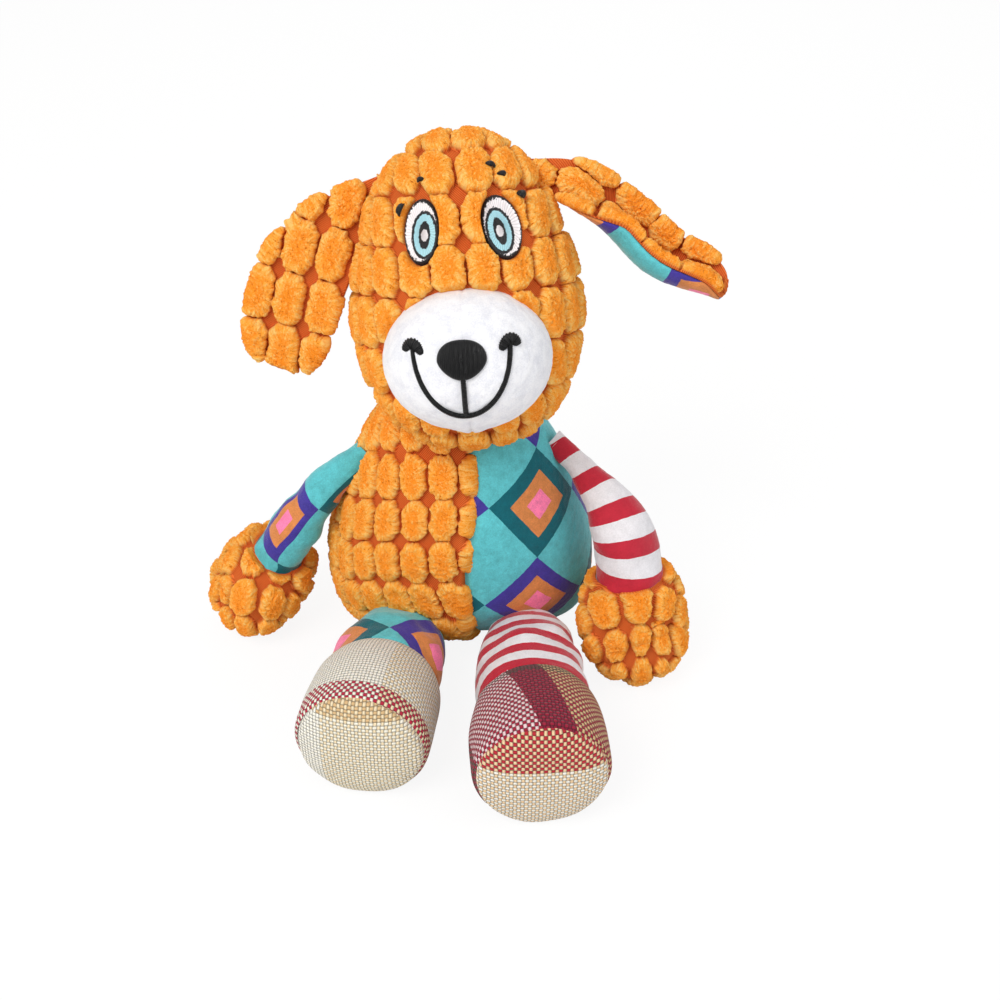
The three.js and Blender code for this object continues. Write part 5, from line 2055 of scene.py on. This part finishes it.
@dataclass
class Studio:
    """A pale floor, soft lamps and a camera that looks down at the toy."""

    elevation_degrees: float = 35.0
    distance: float = 520.0
    target: Triple = (14.0, 0.0, 55.4)
    focal_pixels: float = 1320.8
    image_pixels: float = 1000.0
    sensor: float = 36.0
    floor_size: float = 6.0
    lamp_aim: Triple = (0.0, 0.0, 0.09)
    world_light: float = 0.5
    floor_glow: float = 1.02
    floor_glow_share: float = 0.88

    def build(self) -> None:
        """Adds the camera, the lamps, the floor and the world."""
        bpy.context.scene.view_settings.view_transform = "Standard"
        self.add_camera()
        self.add_floor()
        self.add_lamp("key_lamp", (-0.55, -0.75, 1.05), 0.7, 11.7, (1.0, 0.985, 0.96))
        self.add_lamp("fill_lamp", (0.9, -0.6, 0.7), 0.9, 3.5, (0.97, 0.98, 1.0))
        self.add_lamp("rim_lamp", (0.1, 0.9, 0.9), 0.8, 3.0, (1.0, 1.0, 1.0))
        self.add_world()

    def add_world(self) -> None:
        """Adds a white world that lights the toy less strongly than the camera sees it."""
        world = bpy.data.worlds.new("studio_world")
        bpy.context.scene.world = world
        world.use_nodes = True
        tree = world.node_tree
        background = tree.nodes["Background"]
        path = tree.nodes.new("ShaderNodeLightPath")
        seen = tree.nodes.new("ShaderNodeMath")
        seen.operation = "MAXIMUM"
        tree.links.new(path.outputs["Is Camera Ray"], seen.inputs[0])
        tree.links.new(path.outputs["Is Glossy Ray"], seen.inputs[1])
        strength = tree.nodes.new("ShaderNodeMapRange")
        strength.inputs["To Min"].default_value = self.world_light
        strength.inputs["To Max"].default_value = 1.0
        tree.links.new(seen.outputs[0], strength.inputs["Value"])
        background.inputs["Color"].default_value = (1.0, 1.0, 1.0, 1.0)
        tree.links.new(strength.outputs[0], background.inputs["Strength"])

    def add_camera(self) -> None:
        """Adds the camera at the photograph's angle."""
        lift = math.radians(self.elevation_degrees)
        place = Vector(self.target) + self.distance * Vector((0, -math.cos(lift), math.sin(lift)))
        bpy.ops.object.camera_add(location=place * MM, rotation=(math.pi / 2 - lift, 0, 0))
        camera = bpy.context.object
        camera.name = "camera"
        camera.data.sensor_width = self.sensor
        camera.data.lens = self.sensor * self.focal_pixels / self.image_pixels
        camera.data.clip_start = 0.01
        bpy.context.scene.camera = camera

    def add_floor(self) -> None:
        """Adds a white floor that keeps a faint shadow."""
        bpy.ops.object.select_all(action="DESELECT")
        bpy.ops.mesh.primitive_grid_add(x_subdivisions=4, y_subdivisions=4, size=self.floor_size)
        floor = bpy.context.object
        floor.name = "studio_floor"
        bench = Bench("studio_white")
        diffuse = bench.add("ShaderNodeBsdfDiffuse", {}, {"Color": (0.9, 0.9, 0.9, 1.0)})
        white = (1.0, 1.0, 1.0, 1.0)
        glow = bench.add("ShaderNodeEmission", {}, {"Color": white, "Strength": self.floor_glow})
        path = bench.add("ShaderNodeLightPath", {}, {}, "Is Camera Ray")
        surface = bench.add("ShaderNodeMixShader", {}, {0: path * self.floor_glow_share, 1: diffuse, 2: glow})
        bench.add("ShaderNodeOutputMaterial", {}, {"Surface": surface})
        dress(floor, bench.material)

    def add_lamp(
        self,
        name: str,
        place: Triple,
        size: float,
        power: float,
        tint: Triple,
    ) -> None:
        """Adds a square area lamp that faces the toy.

        Args:
            name: What the lamp is called.
            place: Where it hangs, in metres.
            size: How wide it is, in metres.
            power: Its power in watts.
            tint: The colour of its light.
        """
        bpy.ops.object.light_add(type="AREA", location=place)
        lamp = bpy.context.object
        lamp.name = name
        lamp.data.size = size
        lamp.data.energy = power
        lamp.data.color = tint
        aim = Vector(self.lamp_aim) - Vector(place)
        lamp.rotation_euler = aim.to_track_quat("-Z", "Y").to_euler()


def joint_places(frame: dict) -> dict[str, Array]:
    """Where each hinge of the frame lies, in millimetres."""
    joints = frame["record"]["behaviour"]["joints"]
    return {joint["name"]: np.array(joint["pos_m"]) / MM for joint in joints if "pos_m" in joint}


def make_head(places: dict[str, Array], finishes: Finishes) -> HeadFrame:
    """Makes the head, its stitching and its muzzle.

    Args:
        places: Where each hinge of the frame lies.
        finishes: The shared cloths and threads.

    Returns:
        The head's frame, which the ears need.
    """
    frame = HeadFrame(neck=Vector(places["head_nod"]))
    head = Head(frame)
    eyes = [Eye(Side.RIGHT), Eye(Side.LEFT, half_width=6.0, slant_degrees=14.0)]
    head.build(finishes, eyes)
    for eye in eyes:
        eye.build(head)
    left_stitches = (
        (9.9, 37.4, -15.0, 3.6, 1.2),
        (13.2, 34.6, -20.0, 3.0, 1.2),
        (18.4, 28.6, -35.0, 3.2, 1.9),
    )
    right_stitches = ((-9.9, 34.4, 10.0, 2.8, 1.1), (-16.4, 26.4, 65.0, 4.6, 1.5))
    Brow(Side.LEFT, left_stitches).build(head, finishes)
    Brow(Side.RIGHT, right_stitches).build(head, finishes)
    Muzzle(head).build(finishes)
    return frame


def make_ears(places: dict[str, Array], finishes: Finishes, head: HeadFrame) -> None:
    """Makes the ear that hangs down and the ear that flops out."""
    stripes = StripedPrint(start=3.0, lean=0.1).make("striped_lining")
    right = Ear(
        Side.RIGHT,
        places["right_ear_flop"],
        head,
        spine_shares=(
            (0, 0, 0),
            (-0.12, -0.03, -0.05),
            (-0.25, -0.08, -0.19),
            (-0.37, -0.13, -0.4),
            (-0.46, -0.17, -0.69),
        ),
        face_shares=(-0.1, -0.85, 0.5),
        curl_degrees=26.0,
        half_width=15.2,
        cloth_turn=15.0,
        tuft_start=(0.5, 0.1),
    )
    right.build(finishes, stripes, "stripe")
    diamonds = DiamondPrint(52.0, 52.0, 15.0, 81.0, lean=1.0, rise=-1.0).make("diamond_print_lining")
    left = Ear(
        Side.LEFT,
        places["left_ear_flop"],
        head,
        spine_shares=(
            (0, 0, 0),
            (0.15, -0.02, -0.01),
            (0.37, -0.06, -0.215),
            (0.52, -0.1, -0.34),
            (0.8, -0.13, -0.42),
        ),
        face_shares=(0.365, -0.252, 0.86),
        curl_degrees=168.0,
        half_width=15.0,
        tuft_pitch=(11.8, 17.6),
        tuft_start=(0.5, 0.4),
    )
    left.build(finishes, diamonds, "print")


def make_arms(places: dict[str, Array], finishes: Finishes) -> None:
    """Makes both arms, each with its own bend."""
    right = Arm(
        Side.RIGHT,
        places["right_arm_swing"],
        heading_degrees=182.0,
        tip_heading_degrees=190.0,
        bow_shares=((0.043, -0.055, 0.142), (0.043, -0.055, 0.142)),
        sleeve_rows=((0.0, 6.0), (0.15, 7.0), (0.36, 9.0), (0.54, 10.8), (0.62, 10.6)),
        palm_shift=(5.6, -1.1, 0.5),
        cloth_turn=-12.0,
        hand_half_width=21.0,
    )
    left = Arm(
        Side.LEFT,
        places["left_arm_swing"],
        heading_degrees=-45.0,
        tip_heading_degrees=-60.0,
        bow_shares=((0.016, 0.023, 0.169), (0.048, -0.009, 0.24)),
        sleeve_rows=((0.0, 4.6), (0.1, 4.6), (0.2, 6.5), (0.36, 11.0), (0.5, 13.2), (0.6, 13.0)),
        palm_shift=(1.6, 0.0, 0.0),
        wrist_share=0.6,
        cloth_turn=6.0,
    )
    diamonds = DiamondPrint(27.0, 90.0, 48.6, 70.0, lean=0.61, rise=-2.73).make("diamond_print_sleeve")
    right.build(finishes, diamonds, "print")
    stripes = StripedPrint(16.4, 0.47, 23.3, lean=0.17).make("striped_sleeve")
    left.build(finishes, stripes, "stripe")


def make_weaves() -> dict[str, Material]:
    """The four weaves of the feet, by name."""
    cream, white, beige = srgb(255, 250, 234), srgb(255, 252, 242), srgb(250, 230, 192)
    wine, red, coral = srgb(128, 30, 56), srgb(190, 44, 70), srgb(192, 44, 56)
    brown, tan, peach = srgb(96, 78, 68), srgb(226, 190, 140), srgb(247, 214, 170)
    rose, crimson = srgb(246, 216, 218), srgb(166, 36, 62)
    start = -100
    weaves = {
        "linen_weave_upper": BasketWeave(
            warp=((start, beige), (-8, cream), (40, beige)), weft=((start, white), (33, red)), weft_slant=0.07
        ),
        "linen_weave_sole": BasketWeave(
            warp=((start, white), (-13, beige)), weft=((start, cream), (38, tan))
        ),
        "tweed_weave_upper": BasketWeave(
            warp=((start, brown), (-40, tan), (-1, wine), (11.5, rose), (40, brown)),
            weft=((start, brown), (9, crimson)),
            warp_slant=0.3,
        ),
        "tweed_weave_sole": BasketWeave(warp=((start, peach),), weft=((start, white), (29, coral))),
    }
    return {name: weave.make(name) for name, weave in weaves.items()}


def make_legs(places: dict[str, Array]) -> None:
    """Makes both legs: the left is the longer."""
    weaves = make_weaves()
    diamonds = DiamondPrint(44.0, 42.0, 34.0, 45.0, lean=0.3).make("diamond_print_leg")
    right = Leg(Side.RIGHT, places["right_leg_swing"], 0.94, -98.0)
    right.build(diamonds, "print", weaves["linen_weave_upper"], weaves["linen_weave_sole"])
    stripes = StripedPrint(period=9.5, start=4.0).make("striped_leg")
    left = Leg(Side.LEFT, places["left_leg_swing"], 1.24, -87.0)
    left.build(stripes, "stripe", weaves["tweed_weave_upper"], weaves["tweed_weave_sole"])


def main() -> None:
    """Loads the frame and builds the toy and its studio on it."""
    logging.basicConfig(level=logging.INFO, format="%(message)s")
    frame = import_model()
    places = joint_places(frame)
    Studio().build()
    finishes = Finishes()
    Body().build(finishes)
    head = make_head(places, finishes)
    make_ears(places, finishes, head)
    make_arms(places, finishes)
    make_legs(places)
    Insides(frame).build(finishes)


if __name__ == "__main__":
    main()
